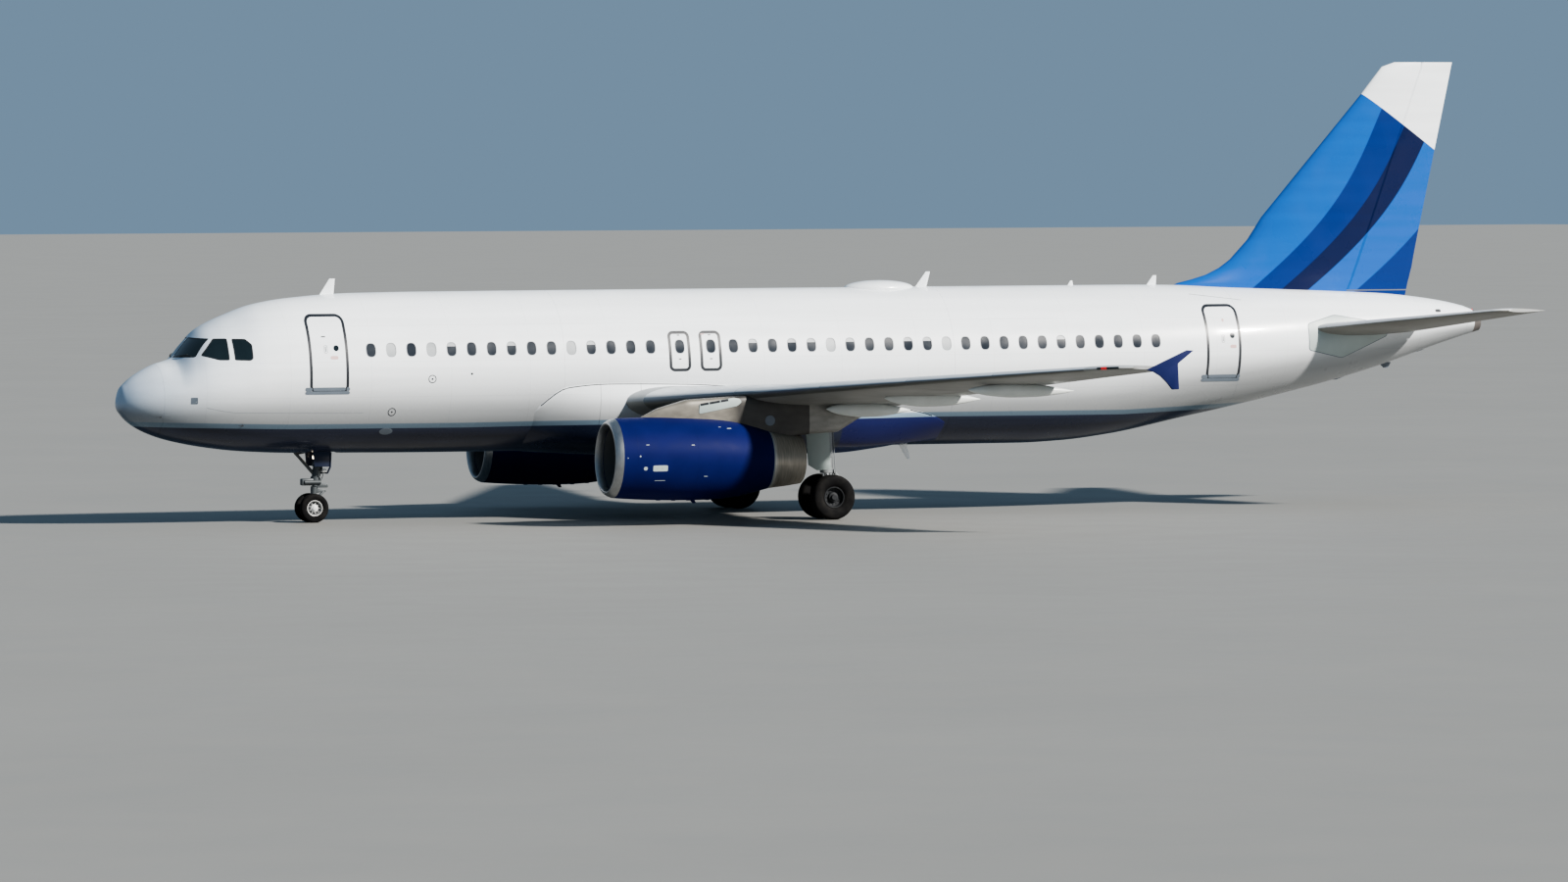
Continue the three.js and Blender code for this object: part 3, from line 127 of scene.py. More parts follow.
# Cabin windows: the first station of each row, and how far each window's blind is drawn: open,
# half or closed.
WINDOW_PITCH = 0.531
WINDOW_ROWS = table("first blinds", [
    (6.184, "ocochoohoochooo"),
    (15.857, "ohohhchoohhcooooohooooo"),
])
EXIT_WINDOWS = [(14.405, "o"), (15.245, "o")]
BLIND_FOOT = {"h": 4.495, "c": 4.20}
WINDOW = {"height": 4.42, "half_width": 0.124, "half_height": 0.172, "power": 2.7, "depth": 0.012}

# Cockpit panes: the windscreen by side offset and height, the side panes by station and height.
WINDSCREEN = [(0.05, 4.268), (1.065, 4.280), (0.925, 4.735), (0.05, 4.755)]
SIDE_PANES = [
    [(1.935, 4.320), (2.280, 4.732), (2.583, 4.736), (2.572, 4.206), (2.340, 4.207)],
    [(2.716, 4.205), (2.708, 4.728), (3.018, 4.722), (3.156, 4.585), (3.152, 4.240), (3.088, 4.192)],
]

# Livery: the height of the dark belly's edge by station, with a thin pale band over it.
BELLY_EDGE = [
    (0, 2.53), (0.4, 2.52), (4.2, 2.43), (8.7, 2.41), (21.5, 2.51), (24.7, 2.50), (26.8, 2.49), (30.5, 2.62),
]
BELLY_END = 30.6
BAND_WIDTH = 0.125
# Painted shade on the white skin: how light it is painted by how far it faces up, from straight down to just
# above level.
UNDERSIDE_PAINTED_SHADE = [(-1, 0.42), (-0.62, 0.36), (-0.45, 0.42), (-0.2, 0.74), (0, 0.93), (0.15, 1)]
# Painted bluish shade for white skin that faces forwards.
FORWARD_PAINTED_SHADE = (0.34, 0.43, 0.54)
JOINT_GREY = (0.30, 0.32, 0.35)
CONE_METAL = {"from": 18.57, "colour": (0.10, 0.09, 0.085)}
WHITE = (0.85, 0.885, 0.905)
PALE_BLUE = (0.33, 0.47, 0.60)
NAVY = (0.017, 0.023, 0.046)
ROYAL = (0.0065, 0.0100, 0.076)
DARK_OUTLINE = (0.012, 0.015, 0.020)
SLATE = (0.115, 0.140, 0.170)
FIN_BLUES = {"dark": (0.004, 0.009, 0.048), "middle": (0.005, 0.026, 0.145), "light": (0.014, 0.092, 0.350)}
FIN_BANDS = table("edge blue", [(6.15, "light"), (5.25, "dark"), (4.75, "middle"), (4.20, "light")])
FIN_TIP = {"middle": 15.435, "slope": 0.704, "height": 10.9}

AERIALS = table("node front chord root tip sweep", [
    ("forward_fuselage", 5.32, 0.40, 5.76, 6.22, 0.30),
    ("centre_fuselage", 21.48, 0.33, 5.83, 6.27, 0.33),
    ("aft_fuselage", 25.78, 0.16, 5.87, 6.00, 0.08),
    ("tail_fuselage", 28.00, 0.28, 5.84, 6.12, 0.20),
])
BELLY_AERIAL = {"front": 21.0, "chord": 0.24, "root": 1.79, "tip": 1.36, "sweep": 0.26}
SATCOM = {"station": 20.49, "half_length": 0.955, "half_width": 0.555, "half_height": 0.236, "height": 5.82}

FAIRING = table("station edge side corner keel", [
    (10.30, 2.45, -0.04, -0.04, -0.04),
    (10.70, 2.95, 0.020, 0.050, 0.015),
    (11.40, 3.40, 0.090, 0.150, 0.060),
    (12.50, 3.48, 0.170, 0.290, 0.120),
    (14.50, 3.45, 0.215, 0.350, 0.165),
    (17.00, 3.28, 0.215, 0.370, 0.190),
    (19.15, 3.02, 0.190, 0.350, 0.190),
    (20.45, 2.76, 0.120, 0.230, 0.060),
    (21.40, 2.54, 0.060, 0.080, -0.07),
    (22.05, 2.23, -0.04, -0.06, -0.04),
])
FAIRING_EDGE = 0.010
FAIRING_INSIDE = -0.06

# Flying surfaces: the leading edge's station, chord, height, thickness and incidence by span.
WING = table("span leading chord height thickness incidence", [
    (1.20, 12.510, 6.500, 2.975, 0.155, 5.5),
    (4.20, 14.025, 4.975, 3.190, 0.135, 5.3),
    (6.40, 15.137, 3.863, 3.347, 0.120, 5.0),
    (11.50, 17.715, 2.705, 3.712, 0.113, 4.3),
    (16.20, 20.091, 1.633, 4.048, 0.108, 3.0),
    (16.50, 20.262, 1.540, 4.073, 0.104, 2.8),
    (16.70, 20.430, 1.433, 4.085, 0.100, 2.6),
    (16.87, 20.655, 1.250, 4.095, 0.095, 2.5),
    (16.985, 20.960, 0.980, 4.100, 0.090, 2.5),
])
WING_CAMBER = 0.015
FLAP_FRONT = [(1.10, 18.05), (1.90, 18.05), (6.41, 18.05), (13.38, 20.33)]
FLAP_SPLIT = 6.41
FLAP_END = 13.38
AILERON = {"inner": 13.48, "outer": 16.25, "fraction": 0.74, "end_gap": 0.026}
SLAT = {"inner": 2.56, "outer": 16.10, "lower": 0.045, "upper": 0.15}
SLAT_JOINTS = [5.45, 8.15, 10.8, 13.4]
CANOES = table("span front rear axis half_width half_height", [
    (6.18, 16.90, 19.15, 2.885, 0.170, 0.190),
    (8.60, 17.60, 20.15, 3.210, 0.150, 0.205),
    (12.50, 18.40, 21.18, 3.490, 0.135, 0.175),
])
CANOE_SIZES = table("share size", [
    (0, 0.04), (0.06, 0.4), (0.2, 0.8), (0.4, 1), (0.62, 0.9), (0.82, 0.55), (1, 0.04),
])
CANOE_DROOP = 0.06
SPOILERS = table("inner outer", [(3.1, 5.2), (6.6, 8.2), (8.25, 9.85), (9.9, 11.5), (11.55, 13.15)])
FENCE = [
    (21.320, 4.040), (22.363, 4.505), (22.541, 4.497), (22.133, 4.184), (22.156, 3.562),
    (21.978, 3.556), (21.826, 3.738), (21.674, 3.882), (21.497, 3.988),
]
FENCE_FACES = (16.986, 17.05)
WINGTIP_LAMPS = table("name spans paint radius", [
    ("lens", (16.57, 16.62, 16.68), None, 0.034),
    ("glass", (16.48, 16.62, 16.75, 16.87), "cockpit", 0.030),
])

FIN = table("span leading chord height thickness incidence", [
    (5.30, 27.60, 7.80, 0, 0.066, 0),
    (5.91, 28.89, 6.65, 0, 0.078, 0),
    (6.00, 29.28, 6.29, 0, 0.082, 0),
    (6.12, 29.70, 5.90, 0, 0.087, 0),
    (6.30, 30.08, 5.57, 0, 0.091, 0),
    (6.52, 30.39, 5.30, 0, 0.095, 0),
    (7.05, 30.90, 4.90, 0, 0.100, 0),
    (7.64, 31.30, 4.63, 0, 0.102, 0),
    (10.90, 34.18, 2.47, 0, 0.105, 0),
    (11.64, 34.79, 2.02, 0, 0.105, 0),
    (11.76, 35.15, 1.69, 0, 0.080, 0),
])
RUDDER_LINE = [(5.30, 33.62), (11.76, 35.98)]
RUDDER = {"inner": 5.66, "outer": 11.79, "end_gap": 0.030}
TAILPLANE = table("span leading chord height thickness incidence", [
    (0.60, 31.790, 3.520, 4.610, 0.105, 1),
    (6.02, 35.310, 1.400, 5.180, 0.100, 1),
    (6.15, 35.460, 1.270, 5.194, 0.094, 1),
    (6.225, 35.680, 1.070, 5.200, 0.085, 1),
])
ELEVATOR_LINE = [(0.60, 34.22), (6.225, 36.22)]
ELEVATOR = {"inner": 1.112, "outer": 6.02, "end_gap": 0.038}
COVE_GAP = 0.012
NOSE_SHARE = 0.97
ROOT_PLATE = [(32.05, 4.81), (32.89, 5.03), (34.10, 4.84), (34.50, 4.49), (33.12, 3.91), (32.06, 4.13)]

SHEET = {"length": 2.1, "height": 0.9, "shift": 0.37}
STAIN_SCALE = 1.5

# Small features of the skin, on both sides. out is how far a mark stands off the skin.
SKIN_MARKS = table("paint station z half_width half_height power out", [
    ("outline", 7.775, 3.67, 0.024, 0.024, 2, 0.003),
    ("outline", 6.76, 2.84, 0.022, 0.022, 2, 0.003),
    ("outline", 8.82, 3.79, 0.028, 0.028, 2, 0.003),
    ("outline", 4.98, 4.77, 0.055, 0.014, 4, 0.003),
    ("outline", 36.17, 5.11, 0.085, 0.04, 4, 0.003),
    ("slate", 1.69, 3.18, 0.085, 0.085, 9, 0.002),
    ("slate", 6.70, 2.34, 0.175, 0.085, 2, 0.003),
    ("mark", 5.22, 4.24, 0.10, 0.045, 4, 0.001),
    ("mark", 29.76, 4.25, 0.09, 0.045, 4, 0.001),
    ("mark", 29.53, 4.94, 0.03, 0.045, 2, 0.001),
    ("mark", 15.05, 4.73, 0.05, 0.014, 4, 0.003),
])
PORT_RINGS = [(7.775, 3.67), (6.76, 2.84)]
PORT_RING_RADIUS = 0.105
PANEL_LINES = [
    [(2.0, 3.0), (2.6, 2.87), (6.0, 2.83)],
    [(28.85, 5.63), (30.27, 5.46)],
]
PROBES = [(0.93, 2.77), (2.94, 2.54)]
PROBE = {"out": 0.07, "length": 0.13, "radii": [0.020, 0.012, 0.006]}
TAIL_MASTS = table("front chord root tip sweep", [
    (33.45, 0.30, 3.40, 3.29, -0.10),
    (34.66, 0.38, 3.74, 3.59, 0.16),
    (35.76, 0.24, 4.07, 4.01, -0.04),
])

# Engines: local x runs aft from the inlet lip along an axis that tips nose-up.
ENGINE = {"station": 11.08, "span": 5.75, "height": 1.722, "tilt": 1.3}
ENGINE_SIDES = 88
LIP = [
    (0.288, 0.815), (0.20, 0.819), (0.125, 0.834), (0.097, 0.850), (0.09, 0.870),
    (0.100, 0.896), (0.135, 0.930), (0.20, 0.968), (0.288, 1.000),
]
COWL_OUTER = [(0.291, 1.0), (1.0, 1.033), (1.9, 1.045), (2.9, 1.018), (3.6, 0.93), (4.365, 0.735)]
COWL_INNER = [(4.365, 0.70), (3.5, 0.815), (2.5, 0.85), (1.5, 0.815), (0.291, 0.815)]
COWL_SEAMS = [0.65, 2.23]
NOZZLE = [(4.368, 0.730), (4.85, 0.668), (5.235, 0.602), (5.235, 0.588), (4.85, 0.640), (4.368, 0.700)]
FAN = {"blades": 22, "tip": 0.795, "root": 0.235, "centre": 1.16, "root_chord": 0.19, "tip_chord": 0.275}
FAN_STAGGER = (20, 60)
SPINNER = [(0.62, 0), (0.64, 0.042), (0.70, 0.092), (0.85, 0.185), (1.03, 0.248), (1.30, 0.25)]
CORE = [(1.31, 0), (1.31, 0.25), (1.5, 0.40), (2.3, 0.47), (3.6, 0.43), (4.55, 0.345)]
PLUG = [(4.30, 0.0), (4.30, 0.215), (4.56, 0.205), (4.95, 0.12), (5.17, 0.035), (5.19, 0)]
COWL_MARKS = table("station z half_width half_height power", [
    (11.99, 2.07, 0.042, 0.006, 4),
    (13.18, 2.05, 0.042, 0.006, 4),
    (14.00, 2.48, 0.035, 0.005, 4),
    (14.25, 2.44, 0.060, 0.009, 4),
    (13.51, 1.26, 0.05, 0.008, 4),
    (12.32, 1.17, 0.14, 0.007, 6),
    (11.78, 1.79, 0.02, 0.02, 2),
    (11.46, 1.75, 0.012, 0.012, 2),
    (11.92, 1.48, 0.05, 0.046, 2),
    (12.305, 1.48, 0.19, 0.075, 9),
])
OUTLET_BOX = [(13.58, 2.80), (13.60, 3.06), (14.50, 3.20), (14.66, 3.17), (14.72, 3.09), (14.60, 2.99)]
OUTLET_TOP = [(13.58, 3.06), (14.50, 3.20)]
LOUVRES = [(13.62, 13.84), (13.86, 14.14), (14.16, 14.36)]
LOUVRE_HEIGHT = 0.06
ACCESS_PANEL = {"station": 15.47, "z": 2.61, "radius": 0.13}
LATCH_PLACES = [1.5, 1.9, 2.3, 2.8, 3.2, 3.6]
VANES = {"count": 40, "front": 1.42, "rear": 1.64, "thickness": 0.012}
PYLON_TOP = [(12.03, 2.70), (12.55, 2.95), (13.30, 3.16), (14.95, 3.25), (18.34, 2.975)]
PYLON_FOOT = [
    (12.03, 2.55), (12.10, 2.40), (13.00, 1.90), (15.50, 1.90), (16.30, 2.214), (16.50, 2.25),
    (17.31, 2.29), (17.85, 2.60), (18.34, 2.83),
]
PYLON_LEAST = 0.03
PYLON_HALF_WIDTH = 0.215
PYLON_PLAN = [(11.95, 0.02), (12.2, 0.35), (12.5, 0.62), (13.4, 1), (15.8, 1), (17.2, 0.75), (18.34, 0.12)]

# Landing gear
NOSE_WHEEL = {"radius": 0.37, "width": 0.215, "rim": 0.205, "spacing": 0.50, "axle": 0.045, "station": 5.105}
MAIN_WHEEL = {"radius": 0.575, "width": 0.40, "rim": 0.275, "spacing": 0.93, "axle": 0.07, "station": 17.71}
TRACK = 7.59
NOSE_LEG_TOP = (5.380, 2.25)
NOSE_BAY = {"front": 4.98, "rear": 5.78, "half_width": 0.375, "floor": 1.5, "walls_from": 1.83, "roof": 2.25}
NOSE_DOOR = {"outline": [(5.04, 1.86), (5.525, 1.86), (5.485, 1.43), (5.08, 1.43)], "faces": (0.383, 0.407)}
NOSE_LAMP_HEIGHTS = [1.80, 1.66]
# Heights and radii down the nose leg: its casing, the collar that takes the braces, and the piston.
NOSE_CASING = [(2.245, 0.105), (1.16, 0.105), (1.15, 0.128), (1.01, 0.128), (1.0, 0.112), (0.93, 0.108)]
NOSE_COLLAR = [(1.52, 0.11), (1.51, 0.130), (1.42, 0.130), (1.41, 0.11)]
NOSE_PISTON = [(1.20, 0.062), (0.915, 0.062), (0.91, 0.092), (0.84, 0.090), (0.72, 0.070), (0.46, 0.066)]
NOSE_FOOT = [(0.50, 0.075), (0.40, 0.080), (0.37, 0.074)]
STEERING_JACKS = table("name front rear half_width low high corner", [
    ("front_jack", 4.83, 5.15, 0.11, 0.945, 1.12, 0.03),
    ("rear_jack", 5.19, 5.525, 0.085, 0.886, 0.985, 0.012),
])
KNEE = {"back": 0.33, "up": 0.265}
DOOR_ARM = {"top": (5.515, 1.80), "bend": (5.495, 1.42), "foot": (5.45, 1.265), "across": 0.30}
MAIN_CASING = [(2.78, 0.15), (1.30, 0.15), (1.29, 0.165), (1.19, 0.165), (1.18, 0.14)]
# Distances aft of the leg's axis and heights.
MAIN_LINK = [(0.10, 0.70), (0.10, 0.80), (0.36, 1.01), (0.12, 1.25), (0.12, 1.33), (0.43, 1.01)]
MAIN_HOSE = table("z back across", [
    (2.3, 0.16, 0.05), (1.5, 0.20, 0.09), (1.0, 0.22, 0.12), (0.75, 0.12, 0.14),
])
MAIN_DOOR = [
    (17.000, 2.700), (17.590, 2.700), (17.665, 1.286), (17.296, 1.267), (17.058, 1.409), (17.000, 2.160),
]
MAIN_DOOR_OFFSET = 0.47
MAIN_DOOR_THICKNESS = 0.034

# The camera stands where the photographer stood, far off the left side.
CAMERA = {"place": (-64.84, -188.382, 8.332), "yaw": 0.3271, "pitch": -0.0324, "roll": -0.0051}
FOCAL_PIXELS = 7788.8
PICTURE_WIDTH = 1600
SENSOR = 36
SUN = {"energy": 8.5, "angle": 4, "colour": (1.0, 0.955, 0.90), "way": (-0.52, 0.66, -0.54)}
SKY = {"colour": (0.48, 0.72, 1.0), "strength": 0.36}
FLOOR = {"low": (-700, -400, -0.2), "high": (700, 1500, 0), "colour": (0.218, 0.216, 0.203)}


# Curves and surfaces

def slopes(place, values):
    """Slopes at the points of a curve that never overshoots them."""
    run = np.diff(place)
    rise = np.diff(values) / run
    result = np.zeros(len(values))
    before, after = rise[:-1], rise[1:]
    turning = before * after <= 0
    safe_before = np.where(turning, 1, before)
    safe_after = np.where(turning, 1, after)
    near = 2 * run[1:] + run[:-1]
    far = run[1:] + 2 * run[:-1]
    result[1:-1] = np.where(turning, 0, (near + far) / (near / safe_before + far / safe_after))
    result[0] = rise[0]
    result[-1] = rise[-1]
    return result


class Curves:
    """Smooth curves through the rows of a table, one for each column."""

    def __init__(self, rows, key, stretch=np.asarray):
        self.stretch = stretch
        self.place = stretch(np.array([row[key] for row in rows], float))
        self.columns = {}
        for name in rows[0]:
            values = np.array([row[name] for row in rows], float)
            self.columns[name] = (values, slopes(self.place, values))

    def at(self, where):
        place = self.stretch(np.asarray(where, float))
        index = np.clip(np.searchsorted(self.place, place) - 1, 0, len(self.place) - 2)
        width = self.place[index + 1] - self.place[index]
        t = np.clip((place - self.place[index]) / width, 0, 1)
        return {name: self.value(column, index, width, t) for name, column in self.columns.items()}

    @staticmethod
    def value(column, index, width, t):
        values, slope = column
        start = values[index] * (1 + 2 * t) * (1 - t) ** 2
        end = values[index + 1] * t ** 2 * (3 - 2 * t)
        bend = slope[index] * t * (1 - t) ** 2 + slope[index + 1] * t ** 2 * (t - 1)
        return start + end + bend * width


def row_at(rows, span):
    """The row of a table of surfaces at a span, between its straight neighbours."""
    spans = [row["span"] for row in rows]
    return {name: np.interp(span, spans, [row[name] for row in rows]) for name in rows[0]}


def line_at(points, place):
    return float(np.interp(place, [p[0] for p in points], [p[1] for p in points]))


def extended(points, place):
    """The height of a straight line through two points, at a place beyond them too."""
    (a, va), (b, vb) = points
    return va + (vb - va) * (place - a) / (b - a)


def spline(points, steps=6):
    """A smooth open curve through points in a plane."""
    p = np.array([points[0], *points, points[-1]], float)
    curve = []
    for i in range(1, len(p) - 2):
        for t in np.linspace(0, 1, steps, endpoint=False):
            a = 2 * p[i]
            b = p[i + 1] - p[i - 1]
            c = 2 * p[i - 1] - 5 * p[i] + 4 * p[i + 1] - p[i + 2]
            d = 3 * p[i] - p[i - 1] - 3 * p[i + 1] + p[i + 2]
            curve.append(tuple((a + b * t + c * t ** 2 + d * t ** 3) / 2))
    return [*curve, tuple(p[-2])]


def full_turn(count):
    """Angles at equal steps all the way round."""
    return np.linspace(0, 2 * math.pi, count, endpoint=False)


HULL = Curves(FUSELAGE, "station", np.sqrt)


def hull_rise(row, above):
    """The half height of a fuselage section, above or below its widest point."""
    return np.where(above, row["top"] - row["waist"], row["waist"] - row["keel"])


def hull_angles(station, angle):
    """Points of the skin at a station, by their angle around it."""
    row = HULL.at(station)
    y = row["half_width"] * np.cos(angle)
    z = row["waist"] + hull_rise(row, np.sin(angle) > 0) * np.sin(angle)
    return np.stack([x_at(np.asarray(station)) + 0 * y, y, z], -1)


def hull_normals(points):
    """The skin's own normals beside points that lie on it."""
    station = np.clip(points[:, 0] + LENGTH / 2, 1e-4, LENGTH)
    row = HULL.at(station)
    rise = hull_rise(row, points[:, 2] > row["waist"])
    angle = np.arctan2((points[:, 2] - row["waist"]) / rise, points[:, 1] / row["half_width"])
    step = 1e-3
    along = hull_angles(station + step, angle) - hull_angles(np.maximum(station - step, 0), angle)
    around = np.stack([0 * angle, -row["half_width"] * np.sin(angle), rise * np.cos(angle)], -1)
    normal = np.cross(around, along)
    return normal / np.linalg.norm(normal, axis=1)[:, None]


def on_side(side):
    """Places a station and a height on one side of the skin, at a distance out of it."""
    def place(points, out):
        station, z = points[:, 0], points[:, 1]
        row = HULL.at(station)
        rise = hull_rise(row, z > row["waist"])
        share = np.clip((z - row["waist"]) / rise, -1, 1)
        y = side * row["half_width"] * np.sqrt(1 - share ** 2)
        skin = np.stack([x_at(station), y, z], -1)
        return skin + out * hull_normals(skin)
    return place


def on_front(points, out):
    """Places a side offset and a height on the skin that faces forwards."""
    y, z = points[:, 0], points[:, 1]
    low = np.full(len(y), FRONT_SEARCH["from"])
    high = np.full(len(y), FRONT_SEARCH["to"])
    for _ in range(FRONT_SEARCH["halvings"]):
        middle = (low + high) / 2
        row = HULL.at(middle)
        rise = hull_rise(row, z > row["waist"])
        inside = (y / row["half_width"]) ** 2 + ((z - row["waist"]) / rise) ** 2 < 1
        high = np.where(inside, middle, high)
        low = np.where(inside, low, middle)
    skin = np.stack([x_at(high), y, z], -1)
    return skin + out * hull_normals(skin)


# Meshes

def shape(name, verts, faces):
    mesh = bpy.data.meshes.new(name)
    mesh.from_pydata([tuple(v) for v in verts], [], [tuple(f) for f in faces])
    builder = bmesh.new()
    builder.from_mesh(mesh)
    bmesh.ops.remove_doubles(builder, verts=builder.verts, dist=1e-5)
    bmesh.ops.recalc_face_normals(builder, faces=builder.faces)
    builder.to_mesh(mesh)
    builder.free()
    obj = bpy.data.objects.new(name, mesh)
    bpy.context.scene.collection.objects.link(obj)
    return obj


def loft(name, rings, around=True, ends="caps"):
    """A skin over rings of points, closed by flat caps or by joining its last ring to its first."""
    rings = np.asarray(rings, float)
    count, sides = rings.shape[:2]
    faces = []
    for r in range(count if ends == "joined" else count - 1):
        for s in range(sides if around else sides - 1):
            a, b = r * sides, (r + 1) % count * sides
            t = (s + 1) % sides
            faces.append((a + s, a + t, b + t, b + s))
    if ends == "caps":
        faces.append(range(sides))
        faces.append(range((count - 1) * sides, count * sides))
    return shape(name, rings.reshape(-1, 3), faces)


def transformed(obj, matrix):
    obj.data.transform(matrix)
    if matrix.determinant() < 0:
        obj.data.flip_normals()
    return obj


def mirrored(obj, name):
    copy = bpy.data.objects.new(name, obj.data.copy())
    bpy.context.scene.collection.objects.link(copy)
    return transformed(copy, Matrix.Diagonal((1, -1, 1, 1)))


def discard(obj):
    mesh = obj.data
    bpy.data.objects.remove(obj)
    bpy.data.meshes.remove(mesh)


def merged(name, objects):
    builder = bmesh.new()
    for obj in objects:
        builder.from_mesh(obj.data)
        discard(obj)
    mesh = bpy.data.meshes.new(name)
    builder.to_mesh(mesh)
    builder.free()
    obj = bpy.data.objects.new(name, mesh)
    bpy.context.scene.collection.objects.link(obj)
    return obj


def baked(obj):
    """Turns an object's modifiers into its mesh."""
    graph = bpy.context.evaluated_depsgraph_get()
    mesh = bpy.data.meshes.new_from_object(obj.evaluated_get(graph))
    obj.modifiers.clear()
    old = obj.data
    obj.data = mesh
    bpy.data.meshes.remove(old)
    return obj


def carved(obj, tool, operation="DIFFERENCE"):
    """Cuts an object with a tool, or joins them, and discards the tool."""
    modifier = obj.modifiers.new("carve", "BOOLEAN")
    modifier.operation = operation
    modifier.solver = "EXACT"
    modifier.object = tool
    baked(obj)
    discard(tool)
    return obj


def copied(obj):
    copy = bpy.data.objects.new(obj.name, obj.data.copy())
    bpy.context.scene.collection.objects.link(copy)
    return copy


def bevelled(obj, width, segments=2):
    modifier = obj.modifiers.new("bevel", "BEVEL")
    modifier.width = width
    modifier.segments = segments
    modifier.limit_method = "ANGLE"
    return baked(obj)


def prism(name, outline, axis, low, high):
    """A straight prism of an outline in the plane across an axis."""
    order = {"x": (2, 0, 1), "y": (0, 2, 1), "z": (0, 1, 2)}[axis]
    rings = [[tuple(np.array((a, b, level))[list(order)]) for a, b in outline] for level in (low, high)]
    return loft(name, rings)


def box(name, low, high):
    return prism(name, [(low[0], low[1]), (high[0], low[1]), (high[0], high[1]), (low[0], high[1])],
                 "z", low[2], high[2])


def tube(name, points, radius, sides=20):
    """A round bar along points, with one radius or one at each point."""
    points = [Vector(p) for p in points]
    radii = radius if isinstance(radius, (list, tuple)) else [radius] * len(points)
    last = len(points) - 1
    ways = [(points[min(i + 1, last)] - points[max(i - 1, 0)]).normalized() for i in range(len(points))]
    across = ways[0].orthogonal().normalized()
    rings = []
    for point, way, reach in zip(points, ways, radii):
        across = (across - way * across.dot(way)).normalized()
        other = way.cross(across)
        turns = [2 * math.pi * s / sides for s in range(sides)]
        rings.append([point + reach * (math.cos(t) * across + math.sin(t) * other) for t in turns])
    return loft(name, rings)


def lathe(name, profile, matrix, sides=48, ring=False):
    """A body turned about its local X axis from place and radius points."""
    rings = []
    for s in range(sides):
        turn = 2 * math.pi * s / sides
        rings.append([(x, r * math.cos(turn), r * math.sin(turn)) for x, r in profile])
    obj = loft(name, rings, around=ring, ends="joined")
    return transformed(obj, matrix)


def rounded(front, rear, low, high, corner, margin=0.0, spacing=0.1):
    """A rounded rectangle with points along its straight edges too."""
    front, rear = front - margin, rear + margin
    low, high, corner = low - margin, high + margin, corner + margin
    corners = [(rear - corner, high - corner, 0), (front + corner, high - corner, 90),
               (front + corner, low + corner, 180), (rear - corner, low + corner, 270)]
    arcs = []
    for x, z, start in corners:
        turns = np.radians(np.linspace(start, start + 90, 7))
        arcs += [(x + corner * math.cos(t), z + corner * math.sin(t)) for t in turns]
    return refined(arcs, spacing)


def refined(outline, spacing):
    """An outline with extra points along its long edges."""
    points = []
    for i, (x, z) in enumerate(outline):
        nx, nz = outline[(i + 1) % len(outline)]
        count = max(1, math.ceil(math.hypot(nx - x, nz - z) / spacing - 1e-6))
        points += [(x + (nx - x) * k / count, z + (nz - z) * k / count) for k in range(count)]
    return points


def oval(x, z, half_width, half_height, power=3.2, count=28):
    turns = [2 * math.pi * i / count for i in range(count)]
    def reach(value):
        return math.copysign(abs(value) ** (2 / power), value)
    return [(x + half_width * reach(math.cos(t)), z + half_height * reach(math.sin(t))) for t in turns]


def rounded_polygon(points, radius, spacing=0.1):
    """A polygon whose corners are cut round."""
    result = []
    for i, point in enumerate(points):
        here = Vector(point)
        before = Vector(points[i - 1]) - here
        after = Vector(points[(i + 1) % len(points)]) - here
        start = here + before.normalized() * radius
        end = here + after.normalized() * radius
        for t in np.linspace(0, 1, 6):
            result.append(tuple((1 - t) ** 2 * start + 2 * t * (1 - t) * here + t ** 2 * end))
    return refined(result, spacing)


def offset(outline, margin):
    """An outline moved outwards by a margin."""
    points = np.array(outline)
    way = np.roll(points, -1, 0) - np.roll(points, 1, 0)
    area = np.sum(points[:, 0] * np.roll(points[:, 1], -1) - np.roll(points[:, 0], -1) * points[:, 1])
    out = np.stack([way[:, 1], -way[:, 0]], -1) * np.sign(area)
    out /= np.linalg.norm(out, axis=1)[:, None]
    return [tuple(p) for p in points + margin * out]


def slab(name, outline, place, low, high, step=0.15):
    """A closed slab on a curved skin, between two distances out of it."""
    builder = bmesh.new()
    builder.faces.new([builder.verts.new((a, b, 0)) for a, b in outline])
    points = np.array(outline)
    for axis in (0, 1):
        least, most = points[:, axis].min(), points[:, axis].max()
        for level in np.arange(least, most, step)[1:]:
            normal = (1, 0, 0) if axis == 0 else (0, 1, 0)
            everything = [*builder.verts, *builder.edges, *builder.faces]
            point = Vector(normal) * level
            bmesh.ops.bisect_plane(builder, geom=everything, plane_co=point, plane_no=normal)
    builder.verts.index_update()
    flat = np.array([(v.co.x, v.co.y) for v in builder.verts])
    tops = [[v.index for v in f.verts] for f in builder.faces]
    rim = [[v.index for v in e.verts] for e in builder.edges if e.is_boundary]
    builder.free()
    count = len(flat)
    under = [[count + i for i in reversed(f)] for f in tops]
    walls = [(a, b, b + count, a + count) for a, b in rim]
    return shape(name, [*place(flat, high), *place(flat, low)], [*tops, *under, *walls])


def band(name, outline, place, inner, outer, low, high):
    """A flat strip that follows an outline on a curved skin."""
    near = np.array(offset(outline, inner))
    far = np.array(offset(outline, outer))
    edges = [place(near, low), place(near, high), place(far, high), place(far, low)]
    return loft(name, np.stack(edges, 1), ends="joined")


# Shading

